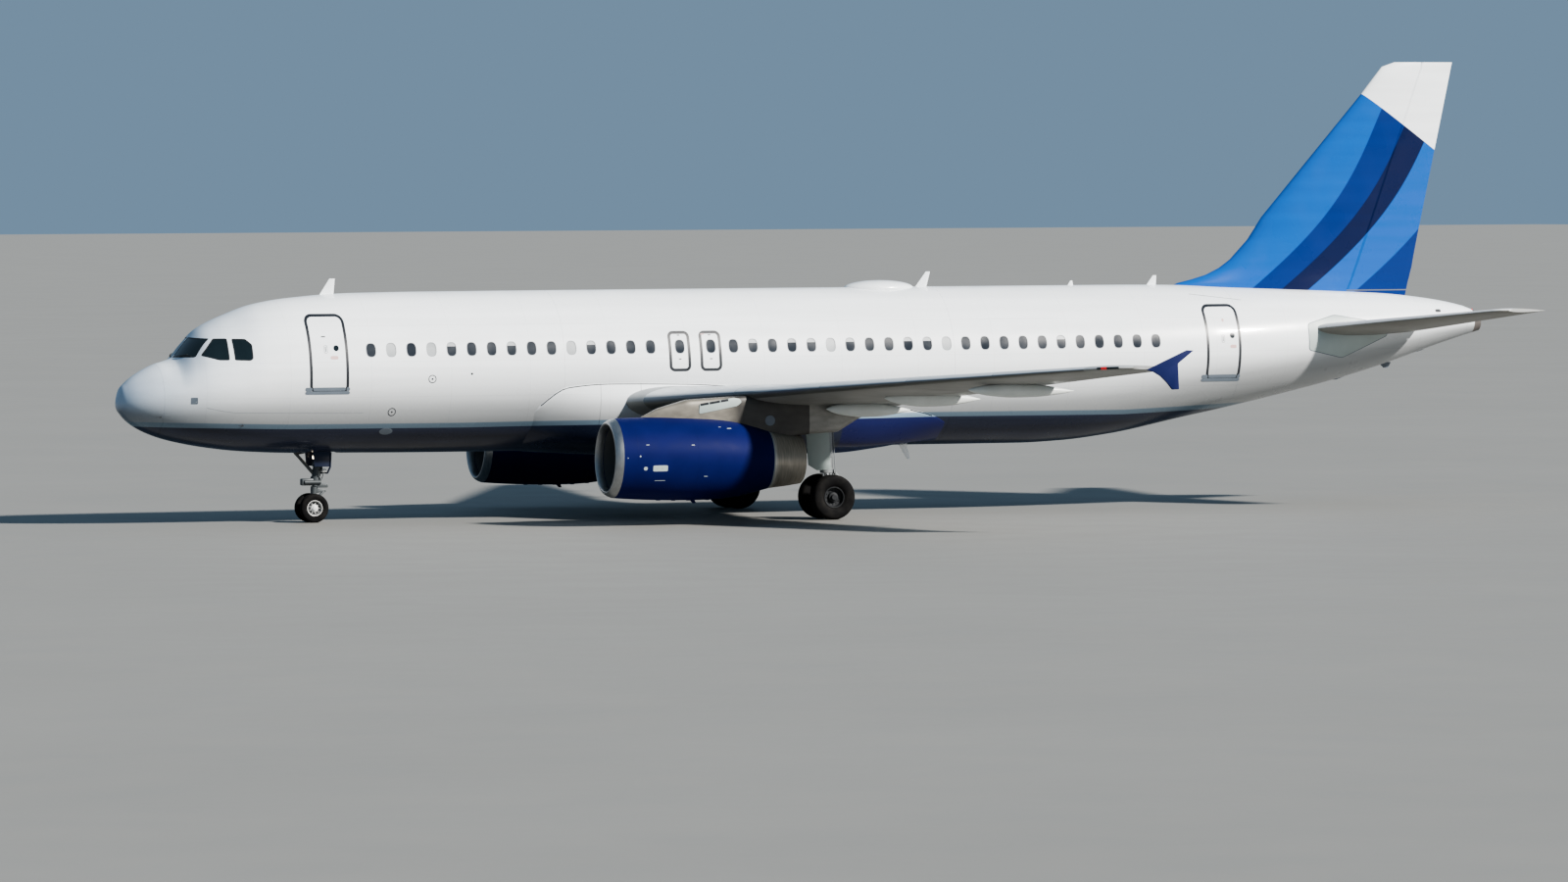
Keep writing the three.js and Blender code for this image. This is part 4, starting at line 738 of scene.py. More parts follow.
def shade_hull(obj):
    """Shades what lies on the fuselage skin by the skin's own normals, so that cuts don't show."""
    mesh = obj.data
    mesh.shade_smooth()
    points = np.empty(len(mesh.vertices) * 3)
    mesh.vertices.foreach_get("co", points)
    points = points.reshape(-1, 3)
    corner = np.empty(len(mesh.loops), int)
    mesh.loops.foreach_get("vertex_index", corner)
    sizes = np.empty(len(mesh.polygons), int)
    mesh.polygons.foreach_get("loop_total", sizes)
    flat = np.empty(len(mesh.polygons) * 3)
    mesh.polygons.foreach_get("normal", flat)
    flat = np.repeat(flat.reshape(-1, 3), sizes, 0)
    smooth = hull_normals(points)[corner]
    near = (smooth * flat).sum(1) > 0.93
    mesh.normals_split_custom_set(np.where(near[:, None], smooth, flat).tolist())
    return obj


def shade(obj, angle=35):
    obj.data.shade_smooth()
    obj.data.set_sharp_from_angle(angle=math.radians(angle))
    return obj


class Paint:
    """A material whose colour, gloss and relief come from nodes in the aircraft's own frame."""

    def __init__(self, name, metallic=0.0, coat=0.0, specular=0.5):
        self.material = bpy.data.materials.new(name)
        self.material.use_nodes = True
        self.tree = self.material.node_tree
        self.shader = self.tree.nodes["Principled BSDF"]
        self.shader.inputs["Metallic"].default_value = metallic
        self.shader.inputs["Specular IOR Level"].default_value = specular
        self.shader.inputs["Coat Weight"].default_value = coat
        self.shader.inputs["Coat Roughness"].default_value = 0.03
        self.place = self.tree.nodes.new("ShaderNodeTexCoord").outputs["Object"]
        parts = self.tree.nodes.new("ShaderNodeSeparateXYZ")
        self.tree.links.new(self.place, parts.inputs[0])
        self.x, self.y, self.z = parts.outputs

    def facing(self):
        """The parts of the surface's own direction along X, Y and Z."""
        parts = self.tree.nodes.new("ShaderNodeSeparateXYZ")
        self.tree.links.new(self.tree.nodes.new("ShaderNodeNewGeometry").outputs["Normal"], parts.inputs[0])
        return parts.outputs

    def put(self, socket, value):
        if isinstance(value, bpy.types.NodeSocket):
            self.tree.links.new(value, socket)
        elif isinstance(value, tuple) and len(value) == 3 and socket.type == "RGBA":
            socket.default_value = (*value, 1)
        else:
            socket.default_value = value

    def math(self, operation, *values):
        node = self.tree.nodes.new("ShaderNodeMath")
        node.operation = operation
        for socket, value in zip(node.inputs, values):
            self.put(socket, value)
        return node.outputs[0]

    def mix(self, share, low, high, blend="MIX"):
        node = self.tree.nodes.new("ShaderNodeMix")
        node.data_type = "RGBA"
        node.blend_type = blend
        self.put(node.inputs["Factor"], share)
        self.put(node.inputs[6], low)
        self.put(node.inputs[7], high)
        return node.outputs[2]

    def remap(self, value, from_low, from_high, to_low=0.0, to_high=1.0):
        node = self.tree.nodes.new("ShaderNodeMapRange")
        for key, given in zip(("Value", "From Min", "From Max", "To Min", "To Max"),
                              (value, from_low, from_high, to_low, to_high)):
            self.put(node.inputs[key], given)
        return node.outputs["Result"]

    def ramp(self, value, stops):
        """A piecewise straight curve of a value, from pairs of value and height."""
        first, last = stops[0][0], stops[-1][0]
        node = self.tree.nodes.new("ShaderNodeValToRGB")
        self.put(node.inputs[0], self.remap(value, first, last))
        for i, (place, height) in enumerate(stops):
            if i > 1:
                node.color_ramp.elements.new(0.999)
            element = node.color_ramp.elements[min(i, len(node.color_ramp.elements) - 1)]
            element.position = (place - first) / (last - first)
            element.color = (height, height, height, 1)
        return node.outputs[0]

    def noise(self, scale, stretch=(1, 1, 1), detail=4):
        mapping = self.tree.nodes.new("ShaderNodeMapping")
        self.put(mapping.inputs["Vector"], self.place)
        mapping.inputs["Scale"].default_value = stretch
        node = self.tree.nodes.new("ShaderNodeTexNoise")
        self.put(node.inputs["Vector"], mapping.outputs[0])
        node.inputs["Scale"].default_value = scale
        node.inputs["Detail"].default_value = detail
        return node.outputs[0]

    def below(self, value, edge, soft=0.004):
        """1 where a value lies under an edge, with a narrow soft step."""
        gap = self.math("SUBTRACT", value, edge)
        return self.remap(gap, -soft, soft, 1.0, 0.0)

    def seam(self, value, pitch, width, shift=0.0):
        """1 on narrow lines that repeat along a coordinate."""
        moved = self.math("ADD", value, shift)
        return self.below(self.math("PINGPONG", moved, pitch / 2), width / 2, width / 4)

    def shaded(self, colour, noise, low, high=1.0):
        """A colour darkened where a noise is low."""
        level = self.remap(noise, 0.35, 0.65, low, high)
        return self.mix(1.0, colour, self.grey(level), "MULTIPLY")

    def grey(self, level):
        node = self.tree.nodes.new("ShaderNodeCombineColor")
        for socket in node.inputs:
            self.put(socket, level)
        return node.outputs[0]

    def finish(self, colour, roughness, spread=0.06, scale=1.2, relief=None, depth=0.001):
        """Sets the colour, a gloss that wanders, and fine relief."""
        self.put(self.shader.inputs["Base Color"], colour)
        wander = self.noise(scale, detail=5)
        self.put(self.shader.inputs["Roughness"],
                 self.remap(wander, 0.3, 0.7, max(roughness - spread, 0.02), roughness + spread))
        bump = self.tree.nodes.new("ShaderNodeBump")
        bump.inputs["Strength"].default_value = 0.35
        bump.inputs["Distance"].default_value = depth
        self.put(bump.inputs["Height"], relief if relief is not None else self.noise(scale * 30, detail=2))
        self.put(self.shader.inputs["Normal"], bump.outputs[0])
        return self.material


def skin_lines(paint):
    """The faint joints between the sheets of the skin."""
    rings = paint.seam(paint.x, SHEET["length"], 0.012)
    rows = paint.seam(paint.z, SHEET["height"], 0.010, SHEET["shift"])
    return paint.math("MAXIMUM", rings, rows)


def streaks(paint):
    """Grime that the air has drawn out along the skin."""
    return paint.noise(1.6, (0.12, 1, 2.2), 6)


def livery(name, royal_from=None, joints=()):
    """White gloss over a dark belly, with a thin pale band between them; painted shade darkens the white
    underneath and tints it bluish where it faces forwards.
    """
    paint = Paint(name, coat=0.2, specular=0.3)
    station = paint.math("ADD", paint.x, LENGTH / 2)
    facing = paint.facing()
    # Painted bluish shade where the skin faces forwards.
    colour = paint.mix(paint.remap(facing[0], -0.12, -0.8), WHITE, FORWARD_PAINTED_SHADE)
    colour = paint.shaded(colour, streaks(paint), 0.93)
    colour = paint.mix(paint.math("MULTIPLY", skin_lines(paint), 0.16), colour, JOINT_GREY)
    edge = paint.ramp(station, BELLY_EDGE)
    top = paint.math("ADD", edge, BAND_WIDTH)
    inside = paint.below(station, BELLY_END, 0.3)
    band_share = paint.math("MULTIPLY", paint.below(paint.z, top, 0.012), inside)
    colour = paint.mix(band_share, colour, PALE_BLUE)
    # Painted shade: the white darkens where the skin faces down.
    colour = paint.mix(1.0, colour, paint.ramp(facing[2], UNDERSIDE_PAINTED_SHADE), "MULTIPLY")
    dark = paint.shaded(NAVY, streaks(paint), 0.75, 1.35)
    if royal_from:
        blue = paint.shaded(ROYAL, streaks(paint), 0.85, 1.1)
        dark = paint.mix(paint.below(station, royal_from, 0.02), blue, dark)
    belly_share = paint.math("MULTIPLY", paint.below(paint.z, edge), inside)
    colour = paint.mix(belly_share, colour, dark)
    for joint in joints:
        line = paint.below(paint.math("ABSOLUTE", paint.math("SUBTRACT", station, joint)), 0.008, 0.003)
        colour = paint.mix(paint.math("MULTIPLY", line, 0.5), colour, DARK_OUTLINE)
    metal = paint.remap(paint.x, CONE_METAL["from"] - 0.01, CONE_METAL["from"])
    return paint.finish(paint.mix(metal, colour, CONE_METAL["colour"]), 0.3, 0.07)


def plain_paint(name, colour, roughness=0.35, metallic=0.0, coat=0.0, dark=0.88, specular=0.5):
    """One colour with faint cloudy stains."""
    paint = Paint(name, metallic, coat, specular)
    tone = paint.shaded(colour, paint.noise(STAIN_SCALE, detail=6), dark)
    return paint.finish(tone, roughness, 0.07, STAIN_SCALE)


def brushed(name, colour, roughness, stretch):
    """Bare metal with fine drawn lines and a little staining."""
    paint = Paint(name, 1.0)
    lines = paint.noise(9, stretch, 3)
    tone = paint.shaded(colour, lines, 0.82)
    tone = paint.shaded(tone, paint.noise(1.1, detail=6), 0.85)
    return paint.finish(tone, roughness, 0.08, 2.0, lines, 0.0006)


def surface_paint_with_painted_shade(name, top, under):
    """Satin paint with the joints of the skin's panels, and painted shade: a darker and browner colour
    underneath.
    """
    paint = Paint(name, specular=0.4)
    across = paint.math("ABSOLUTE", paint.y)
    swept = paint.math("SUBTRACT", paint.x, paint.math("MULTIPLY", across, 0.42))
    lines = paint.math("MAXIMUM", paint.seam(across, 1.35, 0.012), paint.seam(swept, 1.1, 0.010, 0.2))
    # Painted shade: skin that faces down takes the darker under colour.
    tone = paint.mix(paint.remap(paint.facing()[2], -0.15, 0.15), under, top)
    tone = paint.shaded(tone, paint.noise(0.8, (0.5, 1, 1), 6), 0.84)
    tone = paint.mix(paint.math("MULTIPLY", lines, 0.35), tone, (0.13, 0.13, 0.13))
    return paint.finish(tone, 0.42, 0.08)


def slat_paint_with_painted_shade():
    """Bare metal around the nose in a dark bluish colour that is partly painted shade, between light paint on
    top and painted shade underneath; the parts are split by which way the skin faces.
    """
    paint = Paint("slat_metal", 0.35)
    rise = paint.facing()[2]
    # The nose's dark bluish colour is partly painted shade.
    tone = paint.mix(paint.remap(rise, 0.40, 0.75), (0.13, 0.165, 0.205), (0.74, 0.77, 0.79))
    # Painted shade where the skin faces down.
    tone = paint.mix(paint.remap(rise, -0.55, -0.15), (0.17, 0.17, 0.155), tone)
    return paint.finish(paint.shaded(tone, paint.noise(2.5, (1, 0.3, 4), 5), 0.86), 0.36, 0.05)


def pylon_paint_with_painted_shadow():
    """Warm grey in front and behind, with a painted shadow as a dark band between them."""
    paint = Paint("pylon_fairing", 0.2)
    station = paint.math("ADD", paint.x, LENGTH / 2)
    # Painted shadow: the band between stations 14.45 and 16.53 is nearly black.
    tone = paint.mix(paint.below(station, 16.53), (0.25, 0.245, 0.225), (0.045, 0.042, 0.038))
    tone = paint.mix(paint.below(station, 14.45, 0.2), tone, (0.20, 0.185, 0.155))
    return paint.finish(paint.shaded(tone, paint.noise(3, (1, 1, 2), 6), 0.72), 0.42, 0.07)


def exhaust_metal():
    """Heat-tinted alloy that darkens and browns towards the lip."""
    paint = Paint("exhaust_metal", 0.25)
    rings = paint.noise(5, (6, 0.6, 0.6), 4)
    tone = paint.mix(paint.remap(paint.x, -3.34, -3.24), (0.56, 0.53, 0.45), (0.30, 0.27, 0.22))
    tone = paint.shaded(tone, rings, 0.7)
    return paint.finish(tone, 0.42, 0.08, 3.0, rings, 0.0006)


def fin_design():
    """A white tip over sweeping diagonal bands in three blues."""
    paint = Paint("fin_design", coat=0.05, specular=0.15)
    lean = paint.math("MULTIPLY", paint.x, 0.62)
    sweep = paint.math("ADD", lean, paint.math("MULTIPLY", paint.z, -0.55))
    bow = paint.math("SINE", paint.math("MULTIPLY", paint.z, 0.62))
    wave = paint.math("ADD", sweep, paint.math("MULTIPLY", bow, 0.42))
    colour = FIN_BLUES["middle"]
    for row in FIN_BANDS:
        colour = paint.mix(paint.below(wave, row["edge"], 0.008), colour, FIN_BLUES[row["blue"]])
    aft = paint.math("SUBTRACT", paint.x, FIN_TIP["middle"])
    crest = paint.math("ADD", paint.z, paint.math("MULTIPLY", aft, FIN_TIP["slope"]))
    tip = paint.below(paint.math("MULTIPLY", crest, -1), -FIN_TIP["height"], 0.008)
    colour = paint.mix(tip, colour, WHITE)
    colour = paint.shaded(colour, streaks(paint), 0.92)
    return paint.finish(colour, 0.3, 0.06)


def rubber():
    paint = Paint("tyre_rubber", specular=0.12)
    dust = paint.noise(4.0, detail=6)
    tone = paint.mix(paint.remap(dust, 0.45, 0.75), (0.0045, 0.0045, 0.005), (0.013, 0.0125, 0.012))
    return paint.finish(tone, 0.78, 0.1, 3.0, paint.noise(60, detail=3), 0.002)


def lamp_glass(name, colour, strength):
    paint = Paint(name, coat=0.5)
    glow = paint.shaded(colour, paint.noise(8), 0.9)
    paint.put(paint.shader.inputs["Emission Color"], glow)
    paint.shader.inputs["Emission Strength"].default_value = strength
    return paint.finish(glow, 0.12, 0.03)


def make_paints():
    return {
        "hull": livery("hull_livery"),
        "door": livery("door_livery"),
        "fairing": livery("fairing_livery", royal_from=18.9, joints=(12.25, 13.33)),
        "white": plain_paint("white_gloss", WHITE, 0.25, coat=0.3),
        "outline": plain_paint("dark_outline", DARK_OUTLINE, 0.4),
        "rim": plain_paint("window_rim", (0.27, 0.29, 0.31), 0.4),
        "cabin": plain_paint("cabin_window", (0.018, 0.024, 0.033), 0.2, coat=0.1, specular=0.3),
        "blind": plain_paint("window_blind", (0.31, 0.335, 0.35), 0.3, coat=0.2),
        "slate": plain_paint("slate_plate", SLATE, 0.45),
        "cockpit": plain_paint("cockpit_glass", (0.009, 0.016, 0.020), 0.1, coat=0.25, dark=0.7,
                               specular=0.3),
        "seal": plain_paint("black_seal", (0.02, 0.02, 0.021), 0.6),
        "liner": plain_paint("hold_liner", (0.45, 0.46, 0.44), 0.6),
        "primer": plain_paint("bay_primer", (0.20, 0.22, 0.17), 0.55),
        "wing": surface_paint_with_painted_shade("wing_grey", (0.40, 0.42, 0.435), (0.28, 0.28, 0.265)),
        "slat": slat_paint_with_painted_shade(),
        "canoe": plain_paint("canoe_grey", (0.62, 0.65, 0.63), 0.4),
        "pale": surface_paint_with_painted_shade("pale_grey", (0.46, 0.48, 0.49), (0.39, 0.405, 0.39)),
        "plate": plain_paint("root_plate", (0.36, 0.42, 0.41), 0.4),
        "fence": plain_paint("fence_blue", (0.012, 0.017, 0.080), 0.4, coat=0.05, specular=0.15),
        "royal": plain_paint("engine_blue", ROYAL, 0.5, specular=0.04),
        "lip": brushed("inlet_metal", (0.42, 0.43, 0.44), 0.42, (8, 1, 1)),
        "exhaust": exhaust_metal(),
        "duct": plain_paint("duct_grey", (0.10, 0.103, 0.106), 0.5),
        "fan": brushed("fan_titanium", (0.14, 0.15, 0.16), 0.36, (1, 5, 5)),
        "spinner": plain_paint("spinner_grey", (0.09, 0.093, 0.097), 0.35),
        "pylon": pylon_paint_with_painted_shadow(),
        "fin": fin_design(),
        "tail": surface_paint_with_painted_shade("tailplane_grey", (0.56, 0.58, 0.59), (0.24, 0.235, 0.215)),
        "gear": plain_paint("gear_grey", (0.22, 0.235, 0.24), 0.45, metallic=0.2),
        "dark_gear": plain_paint("gear_dark", (0.07, 0.08, 0.085), 0.5, metallic=0.3),
        "chrome": brushed("piston_chrome", (0.72, 0.73, 0.74), 0.14, (1, 1, 9)),
        "gear_door": plain_paint("gear_door_green", (0.28, 0.33, 0.32), 0.45),
        "navy": plain_paint("navy_gloss", NAVY, 0.35, coat=0.1, specular=0.2),
        "rubber": rubber(),
        "white_rim": plain_paint("white_wheel", (0.62, 0.63, 0.62), 0.38),
        "dark_rim": plain_paint("dark_wheel", (0.022, 0.024, 0.027), 0.65, specular=0.2),
        "brake": brushed("brake_steel", (0.20, 0.19, 0.18), 0.5, (5, 1, 5)),
        "lamp": lamp_glass("warm_lamp", (1.0, 0.86, 0.66), 12.0),
        "red": lamp_glass("red_lamp", (0.55, 0.02, 0.02), 0.4),
        "green": lamp_glass("green_lamp", (0.02, 0.45, 0.12), 0.4),
        "mark": plain_paint("pink_mark", (0.62, 0.42, 0.41), 0.4),
    }


PAINTS = make_paints()


def piece(obj, name, body, paint, replaces=()):
    """Names a finished object, paints it and makes it ride on its body."""
    obj.name = name
    obj.data.name = name
    obj.data.materials.clear()
    obj.data.materials.append(PAINTS[paint])
    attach(obj, body)
    if replaces:
        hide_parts(*replaces)
    return obj


def skin_piece(obj, name, paint, replaces=()):
    """A fixed piece that lies on the fuselage and takes its shading."""
    return piece(shade_hull(obj), name, AIRFRAME, paint, replaces)


# Fuselage

def hull_body(name, front, rear):
    count = max(3, int((rear - front) / 0.22))
    stations = np.linspace(front, rear, count)
    if front < 3.5:
        root = np.linspace(math.sqrt(front), math.sqrt(min(rear, 4.5)), 44) ** 2
        stations = np.unique(np.concatenate([root, stations[stations > 4.6], [rear]]))
    angles = full_turn(HULL_SIDES)
    return loft(name, [hull_angles(s, angles) for s in stations])


def window_places():
    """Each cabin window's station and how far its blind is drawn."""
    rows = []
    for row in WINDOW_ROWS:
        rows += [(row["first"] + WINDOW_PITCH * i, blind) for i, blind in enumerate(row["blinds"])]
    return rows + EXIT_WINDOWS


def window_outline(station, margin=0.0):
    half_width, half_height = WINDOW["half_width"] + margin, WINDOW["half_height"] + margin
    return oval(station, WINDOW["height"], half_width, half_height, WINDOW["power"])


def window_cutters(front, rear):
    cutters = []
    for station, _ in window_places():
        if front < station < rear:
            for side in (-1, 1):
                cutters.append(slab("cut", window_outline(station), on_side(side), -WINDOW["depth"], 0.05))
    return cutters


def door_outline(door, margin=0.0):
    return rounded(door["front"], door["rear"], door["sill"], door["head"], DOOR_CORNER, margin)


def door_cutters(front, rear):
    doors = [d for d in PASSENGER_DOORS if front < d["front"] < rear]
    return [slab("cut", door_outline(d, 0.012), on_side(d["side"]), -0.05, 0.08) for d in doors]


def cargo_outline(door, margin=0.0):
    top = door["hinge"] - (0 if margin else 2 * CARGO_GAP)
    front, rear, low = door["front"] - margin, door["rear"] + margin, door["sill"] - margin
    return refined([(front, low), (rear, low), (rear, top), (front, top)], 0.1)


def cargo_hinge(door, margin=0.0):
    row = HULL.at(door["front"])
    drop = (row["waist"] - door["hinge"]) / (row["waist"] - row["keel"])
    y = row["half_width"] * math.sqrt(1 - drop ** 2)
    return [(x_at(s), float(y), door["hinge"]) for s in (door["front"] - margin, door["rear"] + margin)]


def hold_box(door):
    y = cargo_hinge(door)[0][1]
    margin = HOLD["margin"]
    low = (x_at(door["front"] + margin), y - HOLD["depth"], door["sill"] + margin)
    high = (x_at(door["rear"] - margin), y - 0.02, door["hinge"] - margin)
    return low, high


def cargo_cutters(front, rear):
    tools = []
    for door in CARGO_DOORS:
        if front < door["front"] < rear:
            tools.append(slab("cut", cargo_outline(door, CARGO_GAP), on_side(1),
                              -CARGO_THICKNESS - CARGO_GAP, 0.08))
            tools.append(tube("cut", cargo_hinge(door, CARGO_GAP), CARGO_KNUCKLE + 0.004))
            tools.append(box("cut", *hold_box(door)))
    return tools


def pane_outlines():
    """Each cockpit pane of the right side as its outline and the way it lies on the skin."""
    return [(WINDSCREEN, on_front), *[(outline, on_side(1)) for outline in SIDE_PANES]]


def pane_slabs(margin, low, high):
    """The cockpit panes of both sides as separate slabs."""
    panes = []
    for outline, place in pane_outlines():
        soft = offset(rounded_polygon(outline, 0.032), margin)
        right = slab("pane", soft, place, low, high, 0.1)
        panes += [right, mirrored(right, "pane")]
    return panes


def nose_bay_box():
    half_width = NOSE_BAY["half_width"]
    low = (x_at(NOSE_BAY["front"]), -half_width, NOSE_BAY["floor"])
    high = (x_at(NOSE_BAY["rear"]), half_width, NOSE_BAY["roof"])
    return low, high


def build_hull():
    for row in HULL_PIECES:
        front, rear = row["front"], row["rear"]
        body = hull_body(row["node"], front, rear)
        tools = window_cutters(front, rear) + door_cutters(front, rear)
        if tools:
            carved(body, merged("cutters", tools))
        for tool in cargo_cutters(front, rear):
            carved(body, tool)
        if row["node"] == "forward_fuselage":
            for tool in [*pane_slabs(0.012, -0.014, 0.06), box("cut", *nose_bay_box())]:
                carved(body, tool)
        if row["node"] == "apu_exhaust_cone":
            x = LENGTH / 2
            carved(body, tube("cut", [(x - 0.42, 0, 4.805), (x + 0.05, 0, 4.80)], [0.15, 0.17], 32))
        skin_piece(body, f"{row['node']}_skin", "hull", replaces=[row["node"]])


def build_doors():
    for door in PASSENGER_DOORS:
        place = on_side(door["side"])
        panel = slab("door", door_outline(door), place, -0.045, 0.0)
        skin_piece(panel, f"{door['node']}_panel", "door", replaces=[door["node"]])
        line = band("line", door_outline(door), place, 0.004, 0.074, -0.004, 0.002)
        skin_piece(line, f"{door['node']}_outline", "outline")
        build_door_sill(door, place)
        port = slab("port", oval(door["port"], door["port_height"], 0.07, 0.075, 2), place, -0.004, 0.003)
        skin_piece(port, f"{door['node']}_port", "cockpit")
        build_door_handle(door, place)


def build_door_sill(door, place):
    """A scuff plate that wraps the foot of the door, in one part on each side of every joint."""
    front, rear, sill = door["front"], door["rear"], door["sill"]
    low, high = sill - 0.09, sill + 0.09
    spans = [
        (front - 0.19, rear + 0.10, low, sill - 0.008),
        (front - 0.19, front - 0.010, sill - 0.004, high),
        (rear + 0.010, rear + 0.10, sill - 0.004, high),
        (front + 0.012, rear - 0.012, sill + 0.004, high),
    ]
    plates = [slab("sill", rounded(*span, 0.04), place, -0.004, 0.005) for span in spans]
    skin_piece(merged("sill", plates), f"{door['node']}_sill", "slate")


def build_door_handle(door, place):
    """The flush handle's recess, beside the port."""
    x = door["port"] - 0.27
    outline = rounded(x - 0.035, x + 0.035, 4.36, 4.55, 0.03, spacing=0.05)
    parts = [
        band("edge", outline, place, 0.0, 0.01, -0.004, 0.0025),
        slab("grip", rounded(x - 0.012, x + 0.012, 4.39, 4.52, 0.01, spacing=0.05), place, -0.004, 0.005),
    ]
    skin_piece(merged("handle", parts), f"{door['node']}_handle", "rim")


def build_cargo_doors():
    for door in CARGO_DOORS:
        node = door["node"]
        panel = shade_hull(slab("panel", cargo_outline(door), on_side(1), -CARGO_THICKNESS, 0.0))
        piece(panel, f"{node}_panel", node, "door", [node])
        knuckle = tube("knuckle", cargo_hinge(door, -0.06), CARGO_KNUCKLE)
        (x0, y, z), (x1, _, _) = cargo_hinge(door, -0.06)
        section = [(y - 0.036, z - 0.06), (y - 0.014, z - 0.06), (y + 0.004, z), (y - 0.010, z)]
        web = prism("web", section, "x", x0, x1)
        piece(shade(merged("hinge", [knuckle, web])), f"{node}_hinge", node, "pale")
        handle_x = (door["front"] + door["rear"]) / 2
        grip = rounded(handle_x - 0.13, handle_x + 0.13, 2.28, 2.36, 0.03, spacing=0.05)
        edge = band("edge", grip, on_side(1), 0.0, 0.012, -0.004, 0.0025)
        piece(shade_hull(edge), f"{node}_handle", node, "rim")
        build_cargo_ribs(door)
        line = band("line", cargo_outline(door, 0.004), on_side(1), 0.010, 0.022, -0.004, 0.0015)
        skin_piece(line, f"{node}_outline", "outline")
        build_hold(door)


def build_cargo_ribs(door):
    """Low ribs on the door's inner face."""
    ribs = []
    for share in (0.12, 0.31, 0.5, 0.69, 0.88):
        x = door["front"] + share * (door["rear"] - door["front"])
        outline = rounded(x - 0.02, x + 0.02, door["sill"] + 0.08, door["hinge"] - 0.2, 0.01)
        ribs.append(slab("rib", outline, on_side(1), -CARGO_THICKNESS - 0.004, -CARGO_THICKNESS + 0.002))
    piece(shade(merged("ribs", ribs)), f"{door['node']}_ribs", door["node"], "liner")


def lining(low, high, open_side):
    """Thin walls inside a box, with one side left open."""
    wall = HOLD["wall"]
    sides = {
        "-x": (low, (low[0] + wall, high[1], high[2])),
        "+x": ((high[0] - wall, low[1], low[2]), high),
        "-y": (low, (high[0], low[1] + wall, high[2])),
        "+y": ((low[0], high[1] - wall, low[2]), high),
        "-z": (low, (high[0], high[1], low[2] + wall)),
        "+z": ((low[0], low[1], high[2] - wall), high),
    }
    return merged("lining", [box("wall", *ends) for side, ends in sides.items() if side != open_side])


def build_hold(door):
    (x0, y0, z0), (x1, _, z1) = hold_box(door)
    low_skin = float(on_side(1)(np.array([[door["front"], z0]]), -0.14)[0, 1])
    walls = lining((x0, y0, z0), (x1, low_skin, z1), "+y")
    piece(walls, f"{door['node']}_hold_walls", AIRFRAME, "liner")


def build_windows():
    for side, label in SIDES:
        place = on_side(side)
        panes = []
        rims = []
        blinds = []
        for station, blind in window_places():
            panes.append(slab("pane", window_outline(station, -0.004), place, -0.020, -0.008))
            rims.append(band("rim", window_outline(station), place, -0.004, 0.010, -0.006, 0.0015))
            if blind in BLIND_FOOT:
                outline = [(x, max(z, BLIND_FOOT[blind])) for x, z in window_outline(station, -0.005)]
                blinds.append(slab("blind", outline, place, -0.012, -0.007))
        skin_piece(merged("panes", panes), f"cabin_windows_{label}", "cabin")
        skin_piece(merged("blinds", blinds), f"cabin_blinds_{label}", "blind")
        skin_piece(merged("rims", rims), f"cabin_window_rims_{label}", "rim")
        build_overwing_exits(place, label)


def build_overwing_exits(place, label):
    lines = []
    for row in OVERWING_EXITS:
        outline = rounded(row["front"], row["rear"], row["sill"], row["head"], 0.13)
        lines.append(band("line", outline, place, -0.058, 0.018, -0.004, 0.002))
        middle = (row["front"] + row["rear"]) / 2
        for z in (4.10, 4.71):
            lines.append(slab("latch", rounded(middle - 0.035, middle + 0.035, z - 0.012, z + 0.012, 0.008),
                              place, -0.004, 0.003))
    skin_piece(merged("lines", lines), f"overwing_exit_outlines_{label}", "outline")


def build_cockpit():
    panes = merged("glazing", pane_slabs(0.0, -0.014, -0.006))
    skin_piece(panes, "cockpit_panes", "cockpit", ["cockpit_glazing"])
    frames = []
    for outline, place in pane_outlines():
        soft = rounded_polygon(outline, 0.032)
        frames.append(band("frame", soft, place, -0.008, 0.008, -0.012, -0.001))
    right = merged("frames", frames)
    both = merged("frames", [mirrored(right, "left"), right])
    skin_piece(both, "cockpit_frames", "seal")
    build_wipers()


def strip(points, half):
    """The outline of a narrow strip along a line."""
    line = np.array(points)
    way = np.gradient(line, axis=0)
    across = np.stack([-way[:, 1], way[:, 0]], -1) / np.linalg.norm(way, axis=1)[:, None] * half
    return [tuple(p) for p in [*(line + across), *(line - across)[::-1]]]


def build_skin_marks():
    """Ports, probes, blank plates and panel joints on both sides of the skin."""
    for side, label in SIDES:
        place = on_side(side)
        made = {paint: [] for paint in ("outline", "rim", "mark", "slate")}
        for row in SKIN_MARKS:
            outline = oval(row["station"], row["z"], row["half_width"], row["half_height"], row["power"])
            made[row["paint"]].append(slab("mark", outline, place, -0.004, row["out"]))
        for station, z in PORT_RINGS:
            ring = oval(station, z, PORT_RING_RADIUS, PORT_RING_RADIUS, 2)
            made["outline"].append(band("ring", ring, place, -0.020, 0.0, -0.004, 0.002))
        for line in PANEL_LINES:
            stations = np.linspace(line[0][0], line[-1][0], 12)
            points = list(zip(stations, np.interp(stations, *zip(*line))))
            made["rim"].append(slab("line", strip(points, 0.006), place, -0.003, 0.001))
        for station, z in PROBES:
            root = place(np.array([(station, z)]), 0)[0]
            elbow = root + np.array([0, side * PROBE["out"], 0])
            nose = elbow - np.array([PROBE["length"], 0, 0])
            made["outline"].append(tube("probe", [root, elbow, nose], PROBE["radii"], 10))
        for paint, parts in made.items():
            skin_piece(merged("marks", parts), f"skin_marks_{paint}_{label}", paint)


def build_wipers():
    arms = []
    for side in (-1, 1):
        points = np.array([(0.30 * side, 4.27), (0.52 * side, 4.30), (0.80 * side, 4.33)])
        arms.append(tube("arm", on_front(points, 0.018), 0.009, 8))
        blade = np.array([(0.52 * side, 4.285), (0.95 * side, 4.30)])
        arms.append(tube("blade", on_front(blade, 0.012), 0.007, 8))
    piece(shade(merged("wipers", arms)), "windscreen_wipers", AIRFRAME, "seal")


